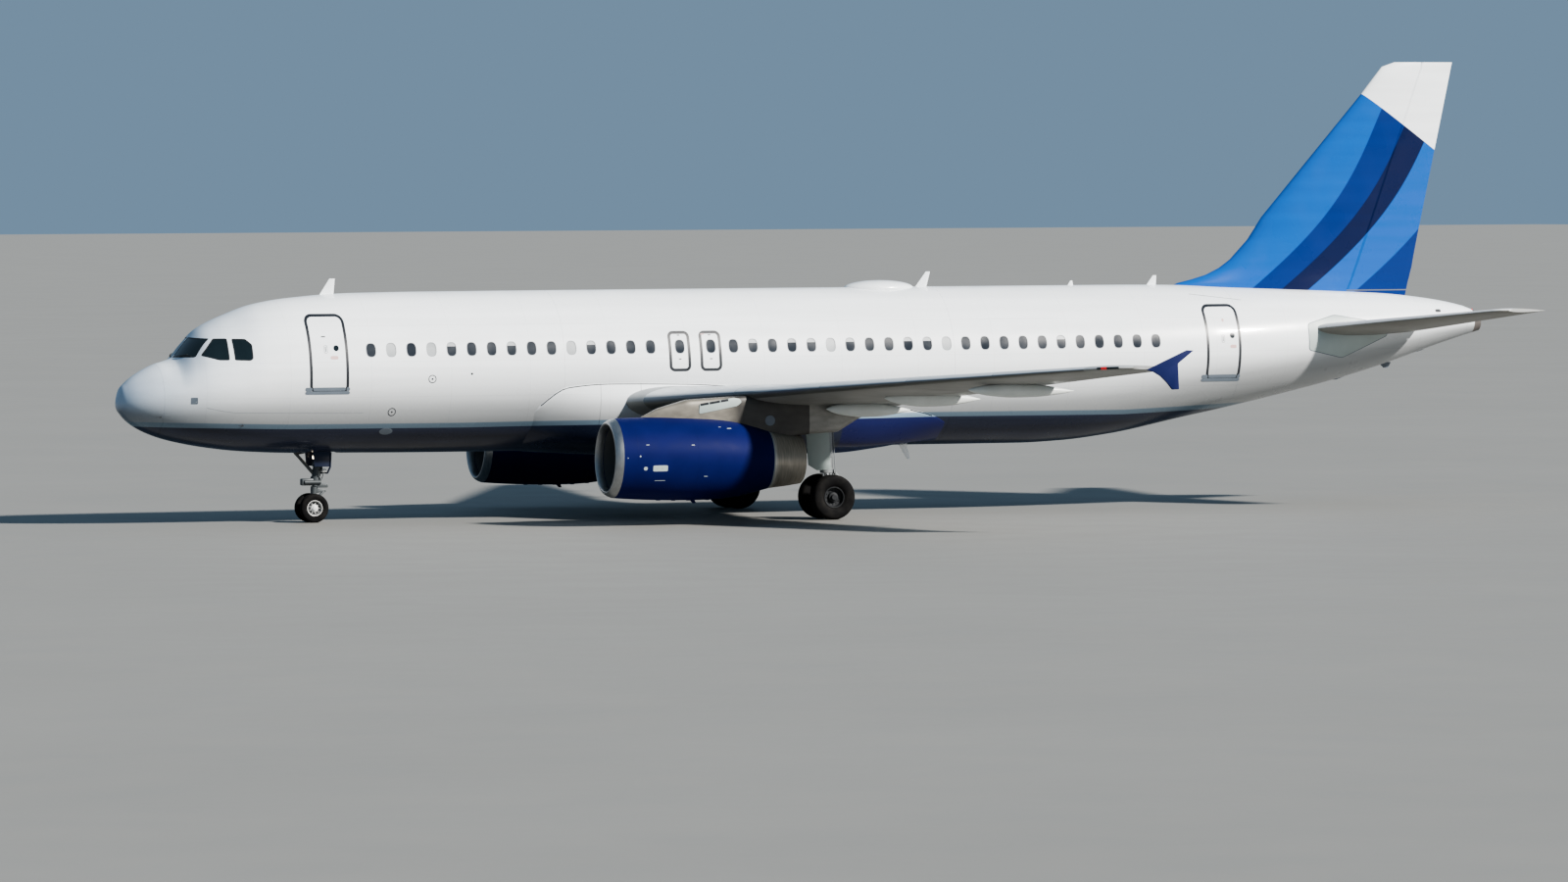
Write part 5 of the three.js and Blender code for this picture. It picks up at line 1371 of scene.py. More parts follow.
def aerial(front, chord, root, tip, sweep):
    """A swept blade aerial with a rounded leading edge."""
    rings = []
    for share in np.linspace(0, 1, 6):
        length = chord * (1 - 0.65 * share)
        width = 0.013 * (1 - 0.45 * share)
        x = x_at(front) + sweep * share
        z = root + (tip - root) * share
        ring = []
        for t in full_turn(24):
            y = width * math.sin(t) * (1 - 0.3 * math.cos(t))
            ring.append((x + length * (1 - math.cos(t)) / 2, y, z))
        rings.append(ring)
    return loft("aerial", rings)


def build_aerials():
    for row in AERIALS:
        body = aerial(row["front"], row["chord"], row["root"], row["tip"], row["sweep"])
        piece(shade(body), f"blade_aerial_{row['node'].split('_')[0]}", AIRFRAME, "white")
    body = aerial(**BELLY_AERIAL)
    piece(shade(body), "blade_aerial_belly", AIRFRAME, "white")
    masts = merged("masts", [aerial(**row) for row in TAIL_MASTS])
    piece(shade(masts), "tail_drain_masts", AIRFRAME, "slate")


def build_satcom():
    """A low oval dome on the crown of the fuselage."""
    rings = []
    for lift in np.sin(np.linspace(-0.35, math.pi / 2 - 0.02, 26)):
        reach = math.sqrt(max(0, 1 - abs(lift) ** 2.4))
        z = SATCOM["height"] + SATCOM["half_height"] * lift
        ring = []
        for t in full_turn(64):
            x = x_at(SATCOM["half_length"] * reach * math.cos(t) + SATCOM["station"])
            ring.append((x, SATCOM["half_width"] * reach * math.sin(t), z))
        rings.append(ring)
    dome = shade(loft("dome", rings), 50)
    piece(dome, "satcom_dome_shell", AIRFRAME, "white", ["satcom_dome"])


def fairing_ring(row):
    """One section of the belly fairing, from its keel up both sides and closed inside the fuselage."""
    station = float(row["station"])
    hull = HULL.at(station)
    drop = (hull["waist"] - row["edge"]) / (hull["waist"] - hull["keel"])
    edge_angle = 90 - math.degrees(math.asin(float(drop)))
    shoulder = row["corner"] + (row["side"] - row["corner"]) * 0.4
    rim = min(float(row["side"]), FAIRING_EDGE)
    swell = table("share out", [
        (0, row["keel"]), (0.28, row["keel"]), (0.5, row["corner"]), (0.68, shoulder), (0.84, row["side"]),
        (1, rim), (1.08, FAIRING_INSIDE), (3, FAIRING_INSIDE),
    ])
    below = np.linspace(0, 1.08, 40) * edge_angle
    above = np.linspace(1.08 * edge_angle, 165, 9)[1:]
    angles = np.concatenate([below, above])
    out = Curves(swell, "share").at(np.abs(angles) / edge_angle)["out"]
    angles = np.concatenate([angles, -angles[:0:-1]])
    out = np.concatenate([out, out[:0:-1]])
    turn = np.radians(angles)
    rise = np.where(np.abs(angles) > 90, hull["top"] - hull["waist"], hull["waist"] - hull["keel"])
    y = (hull["half_width"] + out) * np.sin(turn)
    return np.stack([x_at(station) + 0 * y, y, hull["waist"] - (rise + out) * np.cos(turn)], -1)


def build_fairing():
    curves = Curves(FAIRING, "station")
    stations = np.linspace(FAIRING[0]["station"], FAIRING[-1]["station"], 90)
    rings = []
    for station in stations:
        rings.append(fairing_ring(curves.at(station)))
    piece(shade(loft("fairing", rings), 40), "belly_fairing_shell", AIRFRAME, "fairing",
          ["belly_fairing"])
    edge = [(s, float(curves.at(s)["edge"])) for s in np.linspace(10.7, 21.4, 60)]
    for side, label in SIDES:
        line = slab("line", strip(edge, 0.012), on_side(side), 0.0, FAIRING_EDGE + 0.003)
        skin_piece(line, f"belly_fairing_edge_{label}", "outline")


# Flying surfaces

def fullness(x):
    """How thick an aerofoil is at a share of its chord."""
    return 0.2969 * np.sqrt(x) - 0.126 * x - 0.3516 * x ** 2 + 0.2843 * x ** 3 - 0.1036 * x ** 4


def aerofoil(thickness, camber):
    """Chord shares and heights from the trailing edge over the top and back below."""
    x = (1 - np.cos(np.linspace(0, math.pi, 26))) / 2
    half = 5 * thickness * fullness(x)
    middle = 4 * camber * x * (1 - x)
    upper = np.stack([x, middle + half], -1)[::-1]
    lower = np.stack([x, middle - half], -1)[1:-1]
    return np.concatenate([upper, lower])


def on_surface(row, share, rise):
    angle = math.radians(float(row["incidence"]))
    x = x_at(row["leading"]) + row["chord"] * (share * math.cos(angle) + rise * math.sin(angle))
    z = row["height"] + row["chord"] * (rise * math.cos(angle) - share * math.sin(angle))
    return np.stack([x, row["span"] + 0 * x, z], -1)


def surface_body(name, rows, camber):
    rings = []
    spans = sorted({*[r["span"] for r in rows], *np.arange(rows[0]["span"], rows[-1]["span"], 0.6)})
    for span in spans:
        row = row_at(rows, span)
        section = aerofoil(row["thickness"], camber)
        rings.append(on_surface(row, section[:, 0], section[:, 1]))
    return loft(name, rings)


def half_depth(row, share):
    return row["chord"] * 5 * row["thickness"] * fullness(share)


def hinge_at(rows, camber, line, span):
    row = row_at(rows, span)
    share = (extended(line, span) - row["leading"]) / row["chord"]
    middle = 4 * camber * share * (1 - share)
    return on_surface(row, np.array([share]), np.array([middle]))[0], float(half_depth(row, share))


def plan_prism(outline):
    return prism("plan", [(x_at(station), span) for span, station in outline], "z", -30, 30)


def behind_hinge(line, inner, outer):
    behind = extended(line, outer) + 4
    front = [(span, extended(line, span)) for span in (inner, outer)]
    return plan_prism([*front, (outer, behind), (inner, behind)])


def hinge_bar(rows, camber, line, inner, outer, scale, extra):
    """A round bar on the straight hinge line, as deep as the surface all along it."""
    last = min(outer, rows[-1]["span"])
    spans = sorted({inner, last, *[r["span"] for r in rows if inner < r["span"] < last]})
    start = Vector(hinge_at(rows, camber, line, spans[0])[0])
    stop = Vector(hinge_at(rows, camber, line, spans[-1])[0])
    points = [start.lerp(stop, (s - spans[0]) / (spans[-1] - spans[0])) for s in spans]
    radii = [hinge_at(rows, camber, line, s)[1] * scale + extra for s in spans]
    beyond = (stop - start).normalized() * 0.2
    points[0] = points[0] - beyond
    points[-1] = points[-1] + beyond
    return tube("bar", points, radii, 40)


def span_slab(inner, outer):
    return box("slab", (-30, inner, -30), (30, outer, 30))


def split_control(rows, camber, line, control):
    """Splits a surface into its fixed part, with a round cove, and its control with a round nose."""
    inner, outer, gap = control["inner"], control["outer"], control["end_gap"]
    whole = surface_body("whole", rows, camber)
    nose = hinge_bar(rows, camber, line, inner, outer, NOSE_SHARE, 0)
    carved(nose, span_slab(inner + gap, outer - gap), "INTERSECT")
    cove = hinge_bar(rows, camber, line, inner, outer, 1.01, COVE_GAP)
    carved(cove, span_slab(inner, outer), "INTERSECT")
    moving = carved(copied(whole), behind_hinge(line, inner + gap, outer - gap), "INTERSECT")
    carved(moving, nose, "UNION")
    fixed = carved(whole, behind_hinge(line, inner, outer))
    carved(fixed, cove)
    return fixed, moving


def slat_tool(margin):
    rings = []
    for span in (SLAT["inner"] + margin, 6.4, 11.5, SLAT["outer"] - margin):
        row = row_at(WING, span)
        share = np.array([-0.1, SLAT["lower"], SLAT["lower"], SLAT["upper"], SLAT["upper"], -0.1])
        rise = np.array([-0.3, -0.3, -0.01, 0.03, 0.3, 0.3])
        rings.append(on_surface(row, share - margin / row["chord"], rise))
    return loft("slats", rings)


def flap_tool(inner, outer, margin):
    line = [(span, station) for span, station in FLAP_FRONT if inner < span < outer]
    front = [(inner, line_at(FLAP_FRONT, inner)), *line, (outer, line_at(FLAP_FRONT, outer))]
    return plan_prism([*[(span, station + margin) for span, station in front], (outer, 24), (inner, 24)])


def canoe(row):
    """A flap track's fairing, slim at both ends."""
    curve = Curves(CANOE_SIZES, "share")
    rings = []
    for share in np.linspace(0, 1, 34):
        size = float(curve.at(share)["size"])
        x = x_at(row["front"] + (row["rear"] - row["front"]) * share)
        axis = row["axis"] - CANOE_DROOP * share
        half_width, half_height = row["half_width"] * size, row["half_height"] * size
        ring = []
        for t in full_turn(32):
            ring.append((x, row["span"] + half_width * math.cos(t), axis + half_height * math.sin(t)))
        rings.append(ring)
    return loft("canoe", rings)


def both_sides(right, name, body, paint, node, movers=False):
    """Makes a right-hand piece and its mirror image on the left."""
    left = mirrored(right, name)
    for label, obj in (("right", right), ("left", left)):
        rides = f"{body}_{label}" if movers else body
        piece(obj, f"{name}_{label}", rides, paint, [f"{node}_{label}"] if node else ())


def build_wing():
    line = [(s, row_at(WING, s)["leading"] + AILERON["fraction"] * row_at(WING, s)["chord"])
            for s in (AILERON["inner"], AILERON["outer"])]
    fixed, moving = split_control(WING, WING_CAMBER, line, AILERON)
    both_sides(shade(moving), "aileron_skin", "aileron", "wing", "aileron", True)
    carved(fixed, slat_tool(0))
    carved(fixed, flap_tool(0.5, FLAP_END, 0))
    both_sides(shade(fixed), "wing_skin", AIRFRAME, "wing", "wing")
    whole = surface_body("whole", WING, WING_CAMBER)
    slats = carved(copied(whole), slat_tool(0.0008), "INTERSECT")
    for span in SLAT_JOINTS:
        carved(slats, box("cut", (-30, span, -30), (30, span + 0.012, 30)))
    both_sides(shade(slats), "slat_skin", AIRFRAME, "slat", "slats")
    inboard = carved(copied(whole), flap_tool(FLAP_FRONT[1][0], FLAP_SPLIT - 0.006, 0.003), "INTERSECT")
    outboard = carved(whole, flap_tool(FLAP_SPLIT, FLAP_END - 0.006, 0.003), "INTERSECT")
    both_sides(shade(inboard), "flap_inboard_skin", AIRFRAME, "pale", "flap_inboard")
    both_sides(shade(outboard), "flap_outboard_skin", AIRFRAME, "pale", "flap_outboard")
    canoes = merged("canoes", [canoe(row) for row in CANOES])
    both_sides(shade(canoes), "flap_track_fairings", AIRFRAME, "canoe", None)
    build_spoilers()
    fence = prism("fence", placed(FENCE), "y", *FENCE_FACES)
    fence = shade(bevelled(fence, 0.018, 3))
    both_sides(fence, "fence_skin", AIRFRAME, "fence", "wingtip_fence")
    build_wing_lamps()


def on_wing_top(points, out):
    """Places a span and a chord share on the wing's upper skin."""
    result = []
    for span, share in points:
        row = row_at(WING, span)
        rise = 4 * WING_CAMBER * share * (1 - share) + half_depth(row, share) / row["chord"]
        result.append(on_surface(row, np.array([share]), np.array([rise]))[0] + np.array([0, 0, out]))
    return np.array(result)


def build_spoilers():
    """Five spoilers as thin raised panels ahead of the flaps."""
    panels = []
    for row in SPOILERS:
        corners = []
        for span in (row["inner"], row["outer"]):
            at = row_at(WING, span)
            rear = (line_at(FLAP_FRONT, span) - at["leading"]) / at["chord"]
            corners.append((span, rear - 0.13, rear - 0.008))
        (a, a0, a1), (b, b0, b1) = corners
        outline = refined([(a, a0), (b, b0), (b, b1), (a, a1)], 0.35)
        panels.append(slab("spoiler", outline, on_wing_top, -0.004, 0.006, 0.3))
    both_sides(shade(merged("spoilers", panels)), "spoilers", AIRFRAME, "pale", None)


def build_wing_lamps():
    """A coloured lamp behind dark glass along each wing tip's leading edge."""
    for side, paint, label in ((-1, "red", "left"), (1, "green", "right")):
        for row in WINGTIP_LAMPS:
            tips = [on_surface(row_at(WING, s), np.array([0.0]), np.array([0.0]))[0] for s in row["spans"]]
            points = [(p[0] + 0.012, side * p[1], p[2]) for p in tips]
            lamp = shade(tube(row["name"], points, row["radius"], 16))
            piece(lamp, f"wingtip_{row['name']}_{label}", AIRFRAME, row["paint"] or paint)


def upright(obj):
    return transformed(obj, Matrix.Rotation(math.pi / 2, 4, "X"))


def build_tail():
    fixed, moving = split_control(FIN, 0, RUDDER_LINE, RUDDER)
    piece(shade(upright(fixed)), "fin_skin", AIRFRAME, "fin", ["fin"])
    piece(shade(upright(carve_root(moving))), "rudder_skin", "rudder", "fin", ["rudder"])
    fixed, moving = split_control(TAILPLANE, 0, ELEVATOR_LINE, ELEVATOR)
    both_sides(shade(fixed), "stabiliser_skin", AIRFRAME, "tail", "stabiliser")
    body = hull_body("hull", 30, LENGTH)
    grow_hull(body, 0.025)
    carved(moving, body)
    both_sides(shade(moving), "elevator_skin", "elevator", "tail", "elevator", True)
    for side, label in SIDES:
        outline = rounded_polygon(ROOT_PLATE, 0.08)
        plate = slab("plate", outline, on_side(side), -0.004, 0.006)
        edge = band("edge", outline, on_side(side), 0.0, 0.018, -0.004, 0.004)
        skin_piece(edge, f"stabiliser_root_edge_{label}", "slate")
        skin_piece(plate, f"stabiliser_root_plate_{label}", "plate")


def grow_hull(body, margin):
    """Moves a stretch of hull outwards, as the room that a control needs."""
    mesh = body.data
    points = np.array([v.co[:] for v in mesh.vertices])
    moved = points + margin * hull_normals(points) * np.array([0, 1, 1])
    mesh.vertices.foreach_set("co", moved.ravel())
    mesh.update()


def carve_root(moving):
    """Clears the rudder's foot from the fuselage. The rudder still lies on its side here."""
    body = hull_body("hull", 30, LENGTH)
    grow_hull(body, 0.04)
    transformed(body, Matrix.Rotation(-math.pi / 2, 4, "X"))
    return carved(moving, body)


# Engines

def engine_matrix(side):
    turn = Matrix.Rotation(math.radians(ENGINE["tilt"]), 4, "Y")
    place = Vector((x_at(ENGINE["station"]), side * ENGINE["span"], ENGINE["height"]))
    return Matrix.Translation(place) @ turn


def fan_blades():
    """Wide twisted blades, thick at the root and thin at the tip."""
    blades = []
    sections = []
    for share in np.linspace(0, 1, 9):
        chord = FAN["root_chord"] + (FAN["tip_chord"] - FAN["root_chord"]) * share
        thick = 0.024 * (1 - share) + 0.010 * share
        stagger = math.radians(FAN_STAGGER[0] + (FAN_STAGGER[1] - FAN_STAGGER[0]) * share)
        radius = FAN["root"] + (FAN["tip"] - FAN["root"]) * share
        ring = []
        for t in full_turn(16):
            along = 0.5 * chord * math.cos(t)
            across = 0.5 * thick * math.sin(t) + 0.05 * chord * (1 - math.cos(t) ** 2)
            x = FAN["centre"] + along * math.cos(stagger) - across * math.sin(stagger)
            y = along * math.sin(stagger) + across * math.cos(stagger)
            ring.append((x, y, math.sqrt(max(radius ** 2 - y ** 2, 1e-6))))
        sections.append(ring)
    for i in range(FAN["blades"]):
        turn = Matrix.Rotation(2 * math.pi * i / FAN["blades"], 4, "X")
        blades.append(transformed(loft("blade", sections), turn))
    return merged("blades", blades)


def outlet_vanes():
    vanes = []
    for i in range(VANES["count"]):
        half = VANES["thickness"] / 2
        plate = box("vane", (VANES["front"], -half, 0.36), (VANES["rear"], half, 0.812))
        vanes.append(transformed(plate, Matrix.Rotation(2 * math.pi * (i + 0.5) / VANES["count"], 4, "X")))
    return merged("vanes", vanes)


def build_engine(side, label):
    matrix = engine_matrix(side)
    lip = lathe("lip", spline(LIP, 7), matrix, ENGINE_SIDES, ring=True)
    piece(shade(lip), f"inlet_lip_skin_{label}", AIRFRAME, "lip", [f"inlet_lip_{label}"])
    cowl_profile = spline(COWL_OUTER, 6) + spline(COWL_INNER, 6)
    cowl = lathe("cowl", cowl_profile, matrix, ENGINE_SIDES, ring=True)
    piece(shade(cowl), f"engine_cowl_skin_{label}", AIRFRAME, "royal",
          [f"engine_cowl_{label}"])
    liner_profile = [(0.30, 0.812), (0.30, 0.806), (1.5, 0.806), (2.5, 0.842), (2.5, 0.848), (1.5, 0.812)]
    liner = lathe("liner", liner_profile, matrix, ENGINE_SIDES, ring=True)
    piece(shade(liner), f"duct_liner_{label}", AIRFRAME, "duct")
    nozzle = lathe("nozzle", NOZZLE, matrix, ENGINE_SIDES, ring=True)
    piece(shade(nozzle), f"nozzle_skin_{label}", AIRFRAME, "exhaust", [f"nozzle_{label}"])
    build_fan(matrix, label)
    core = lathe("core", [*spline(CORE, 5), (4.55, 0.30), (4.32, 0.29), (4.32, 0)], matrix, 64)
    plug = lathe("plug", spline(PLUG, 5), matrix, 48)
    vanes = transformed(outlet_vanes(), matrix)
    piece(shade(merged("core", [core, plug, vanes])), f"engine_core_skin_{label}", AIRFRAME, "exhaust",
          [f"engine_core_{label}"])
    build_cowl_details(matrix, label)


def build_fan(matrix, label):
    spinner = lathe("spinner", [*spline(SPINNER, 5), (1.30, 0)], matrix, 66)
    piece(shade(spinner), f"fan_spinner_{label}", f"fan_{label}", "spinner", [f"fan_{label}"])
    blades = transformed(fan_blades(), matrix)
    piece(shade(blades, 50), f"fan_blades_{label}", f"fan_{label}", "fan")


def cowl_radius(x):
    return line_at(spline(COWL_OUTER, 6), x)


def build_cowl_details(matrix, label):
    """Joints between the cowl's panels, latches along its keel, a drain mast and its end ring."""
    seams = []
    for x in COWL_SEAMS:
        low, high = cowl_radius(x) - 0.006, cowl_radius(x) + 0.0012
        profile = [(x - 0.006, low), (x - 0.006, high), (x + 0.006, high), (x + 0.006, low)]
        seams.append(lathe("seam", profile, matrix, ENGINE_SIDES, ring=True))
    for x in LATCH_PLACES:
        r = cowl_radius(x)
        latch = box("latch", (x - 0.05, -0.025, -r - 0.010), (x + 0.05, 0.025, -r + 0.02))
        seams.append(transformed(bevelled(latch, 0.006), matrix))
    mast = prism("mast", [(2.3, -1.0), (2.45, -1.0), (2.5, -1.115), (2.42, -1.115)], "y", -0.012, 0.012)
    seams.append(transformed(mast, matrix))
    piece(shade(merged("seams", seams)), f"cowl_joints_{label}", AIRFRAME, "royal")
    x, r = COWL_OUTER[-1]
    start = x - 0.035
    outer = cowl_radius(start)
    section = [(start, outer - 0.004), (start, outer + 0.002), (x, r + 0.002), (x, r - 0.004)]
    ring = lathe("ring", section, matrix, ENGINE_SIDES, ring=True)
    piece(shade(ring), f"cowl_end_ring_{label}", AIRFRAME, "rim")


def on_cowl(side):
    """Places a station and a height on the outer side of a cowl."""
    def place(points, out):
        x = points[:, 0] - ENGINE["station"]
        up = points[:, 1] - ENGINE["height"] + x * math.sin(math.radians(ENGINE["tilt"]))
        reach = np.array([cowl_radius(value) for value in x]) + out
        y = side * (ENGINE["span"] + np.sqrt(reach ** 2 - up ** 2))
        return np.stack([x_at(points[:, 0]), y, points[:, 1]], -1)
    return place


def build_cowl_marks():
    """Latches, a blank placard and small marks on the outer side of each cowl."""
    for side, label in SIDES:
        marks = []
        for row in COWL_MARKS:
            outline = oval(row["station"], row["z"], row["half_width"], row["half_height"], row["power"])
            marks.append(slab("mark", outline, on_cowl(side), -0.004, 0.003))
        piece(shade(merged("marks", marks)), f"cowl_marks_{label}", AIRFRAME, "plate")


def build_pylon_panels():
    """The outlet box with its dark louvres, and a round access panel, on both faces of each pylon."""
    white, louvres, discs = [], [], []
    for face in (-1, 1):
        y = ENGINE["span"] + face * 0.214
        low, high = sorted((y, y + face * 0.012))
        outline = rounded_polygon(OUTLET_BOX, 0.05)
        white.append(bevelled(prism("box", placed(outline), "y", low, high), 0.004))
        for front, rear in LOUVRES:
            first, last = (line_at(OUTLET_TOP, s) - 0.004 for s in (front, rear))
            foot = [(front, first - LOUVRE_HEIGHT), (rear, last - LOUVRE_HEIGHT)]
            louvre = [*foot, (rear, last), (front, first)]
            ends = sorted((y + face * 0.010, y + face * 0.015))
            louvres.append(prism("louvre", placed(louvre), "y", *ends))
        radius = ACCESS_PANEL["radius"]
        disc = oval(x_at(ACCESS_PANEL["station"]), ACCESS_PANEL["z"], radius, radius, 2)
        discs.append(prism("disc", disc, "y", *sorted((y - face * 0.02, y + face * 0.006))))
    both_sides(shade(merged("box", white)), "pylon_outlet_box", AIRFRAME, "plate", None)
    both_sides(shade(merged("louvres", louvres)), "pylon_louvres", AIRFRAME, "outline", None)
    both_sides(shade(merged("discs", discs)), "pylon_access_panel", AIRFRAME, "slate", None)


def pylon():
    plan = Curves(table("station share", PYLON_PLAN), "station")
    stations = np.linspace(PYLON_TOP[0][0], PYLON_TOP[-1][0], 64)
    rings = []
    for station in stations:
        half = PYLON_HALF_WIDTH * float(plan.at(station)["share"])
        top = line_at(PYLON_TOP, station)
        low = min(line_at(PYLON_FOOT, station), top - PYLON_LEAST)
        middle, rise = (top + low) / 2, (top - low) / 2
        ring = [(x_at(station), y, z) for y, z in oval(ENGINE["span"], middle, half, rise, 5, 40)]
        rings.append(ring)
    return loft("pylon", rings)


def build_pylons():
    body = pylon()
    outer = [(x, r + 0.002) for x, r in spline(COWL_OUTER, 6)]
    envelope = [(0.1, 0), (0.1, 0.90), (0.18, 0.96), *outer, (5.235, 0.60), (5.235, 0)]
    carved(body, lathe("envelope", envelope, engine_matrix(1), ENGINE_SIDES))
    both_sides(shade(body), "pylon_skin", AIRFRAME, "pylon", "pylon")


# Landing gear

def wheel_matrix(wheel, y, side):
    """The frame of one wheel, with local X pointing away from its leg."""
    turn = Matrix.Rotation(math.pi / 2, 4, "Z")
    if side < 0:
        turn = Matrix.Rotation(-math.pi / 2, 4, "Z")
    place = (x_at(wheel["station"]), y + side * wheel["spacing"] / 2, wheel["radius"])
    return Matrix.Translation(place) @ turn


def tyre_profile(wheel):
    """A tyre's section, with four grooves in its tread."""
    half, rim, radius = wheel["width"] / 2, wheel["rim"], wheel["radius"]
    wall = radius - rim
    side = spline([(0.74 * half, rim), (0.93 * half, rim + 0.22 * wall), (half, rim + 0.52 * wall),
                   (0.93 * half, rim + 0.80 * wall), (0.74 * half, rim + 0.94 * wall)], 5)
    depth = 0.03 * wall
    tread = []
    for place in (0.52, 0.20):
        crown = radius - 0.02 * wall * place
        tread += [((place + 0.03) * half, crown), ((place + 0.02) * half, crown - depth),
                  ((place - 0.02) * half, crown - depth), ((place - 0.03) * half, crown)]
    right = [*side, *tread]
    return [*right, *[(-x, r) for x, r in reversed(right)]]


def rim_profile(wheel):
    """A wheel's disc with a deep dish, a raised flange and a hub cap."""
    half, rim = wheel["width"] / 2, wheel["rim"]
    return [
        (-0.72 * half, 0), (-0.72 * half, rim - 0.002), (0.78 * half, rim - 0.002),
        (0.82 * half, 0.96 * rim), (0.78 * half, 0.90 * rim), (0.30 * half, 0.80 * rim),
        (0.22 * half, 0.52 * rim), (0.52 * half, 0.44 * rim), (0.60 * half, 0.28 * rim),
        (0.84 * half, 0.26 * rim), (0.88 * half, 0.22 * rim), (0.88 * half, 0),
    ]


def wheel_bolts(wheel, matrix, count):
    half, rim = wheel["width"] / 2, wheel["rim"]
    bolts = []
    for i in range(count):
        turn = 2 * math.pi * i / count
        y, z = 0.64 * rim * math.cos(turn), 0.64 * rim * math.sin(turn)
        start, end = (0.20 * half, y, z), (0.36 * half, y, z)
        bolts.append(transformed(tube("bolt", [start, end], 0.035 * rim + 0.004, 8), matrix))
    return bolts


def build_wheels(wheel, y, body, tyre_names, paint, bolts):
    discs = []
    dishes = []
    for side, node in zip((-1, 1), tyre_names):
        matrix = wheel_matrix(wheel, y, side)
        tyre = lathe("tyre", tyre_profile(wheel), matrix, 72, ring=True)
        piece(shade(tyre, 50), f"{node}_rubber", body, "rubber", [node])
        discs.append(lathe("disc", rim_profile(wheel), matrix, 60))
        half, rim = wheel["width"] / 2, wheel["rim"]
        dish = [(0.79 * half, 0.915 * rim), (0.80 * half, 0.90 * rim), (0.31 * half, 0.805 * rim),
                (0.23 * half, 0.515 * rim), (0.22 * half, 0.52 * rim), (0.29 * half, 0.81 * rim)]
        dishes.append(lathe("dish", dish, matrix, 60, ring=True))
        discs += wheel_bolts(wheel, matrix, bolts)
    x = x_at(wheel["station"])
    reach = wheel["spacing"] / 2
    axle = tube("axle", [(x, y - reach, wheel["radius"]), (x, y + reach, wheel["radius"])], wheel["axle"], 32)
    piece(shade(merged("wheels", [*discs, axle])), f"{body}_discs", body, paint, [body])
    piece(shade(merged("dishes", dishes)), f"{body}_dishes", body, "dark_rim")


def nose_point(z):
    station, top = NOSE_LEG_TOP
    share = (z - NOSE_WHEEL["radius"]) / (top - NOSE_WHEEL["radius"])
    return Vector((x_at(NOSE_WHEEL["station"] + (station - NOSE_WHEEL["station"]) * share), 0, z))


def strut(name, levels, sides=32):
    """A round leg along the nose gear's axis from height and radius pairs."""
    return tube(name, [nose_point(z) for z, _ in levels], [r for _, r in levels], sides)


def build_nose_leg():
    def on_leg(z, back=0.0, across=0.0):
        return nose_point(z) + Vector((back, across, 0))
    steel = [
        strut("casing", NOSE_CASING),
        strut("collar", NOSE_COLLAR),
        tube("brace", [on_leg(1.18), (x_at(4.53), 0, 1.95)], [0.045, 0.035], 16),
        tube("stay", [(x_at(4.67), 0, 1.74), (x_at(4.95), 0, 1.79)], 0.022, 12),
        tube("cross", [on_leg(2.0, 0, -0.36), on_leg(2.0, 0, 0.36)], 0.05, 16),
    ]
    for row in STEERING_JACKS:
        low = (x_at(row["front"]), -row["half_width"], row["low"])
        high = (x_at(row["rear"]), row["half_width"], row["high"])
        steel.append(bevelled(box(row["name"], low, high), row["corner"]))
    for side in (-1, 1):
        ends = [on_leg(1.03, -0.30, side * 0.10), on_leg(1.03, 0.12, side * 0.12)]
        steel.append(tube("jack", ends, 0.055, 20))
        steel.append(tube("line", hose(side), 0.010, 8))
    for i in range(5):
        x = x_at(5.26 + 0.055 * i)
        steel.append(box("rib", (x, -0.092, 0.89), (x + 0.02, 0.092, 0.971)))
    piece(shade(merged("leg", steel)), "nose_leg_casing", AIRFRAME, "dark_gear",
          ["nose_gear_leg"])
    valve = [
        bevelled(box("valve", (x_at(5.36), -0.09, 1.27), (x_at(5.49), 0.03, 1.36)), 0.015),
        tube("arm", [(x_at(5.30), 0, 1.31), (x_at(5.37), -0.03, 1.31)], 0.015, 10),
    ]
    piece(shade(merged("valve", valve)), "nose_leg_valve", AIRFRAME, "white_rim")
    build_nose_doors()
    build_nose_lamps()
    walls = lining(*nose_bay_walls(), "-z")
    piece(walls, "nose_bay_walls", AIRFRAME, "primer")


def nose_bay_walls():
    (x0, y0, _), (x1, y1, z1) = nose_bay_box()
    return (x0, y0, NOSE_BAY["walls_from"]), (x1, y1, z1)


def hose(side):
    low, high = nose_point(0.98), nose_point(2.1)
    return [(high.x + 0.02, side * 0.11, high.z), (nose_point(1.6).x + 0.06, side * 0.12, 1.6),
            (nose_point(1.2).x + 0.15, side * 0.13, 1.2), (low.x + 0.10, side * 0.12, low.z)]


def arm_point(name, y):
    station, z = DOOR_ARM[name]
    return (x_at(station), y, z)


def build_nose_doors():
    """The two doors beside the leg, with their hinge arms behind them."""
    outline = placed(NOSE_DOOR["outline"])
    inner, outer = NOSE_DOOR["faces"]
    across = DOOR_ARM["across"]
    parts = []
    for side in (-1, 1):
        parts.append(bevelled(prism("door", outline, "y", *sorted((side * inner, side * outer))), 0.008))
        ends = [("top", outer), ("bend", outer), ("foot", across)]
        parts.append(tube("arm", [arm_point(name, side * y) for name, y in ends], 0.024, 10))
    parts.append(tube("foot", [arm_point("foot", y) for y in (-across, across)], 0.022, 10))
    parts.append(tube("link", [arm_point("foot", 0), nose_point(1.24)], 0.022, 10))
    piece(shade(merged("doors", parts)), "nose_gear_doors", AIRFRAME, "navy")
    at = nose_point(1.645)
    link = tube("link", [(at.x, -0.395, at.z), (at.x, 0.395, at.z)], 0.022, 12)
    piece(shade(link), "nose_door_link", AIRFRAME, "gear")


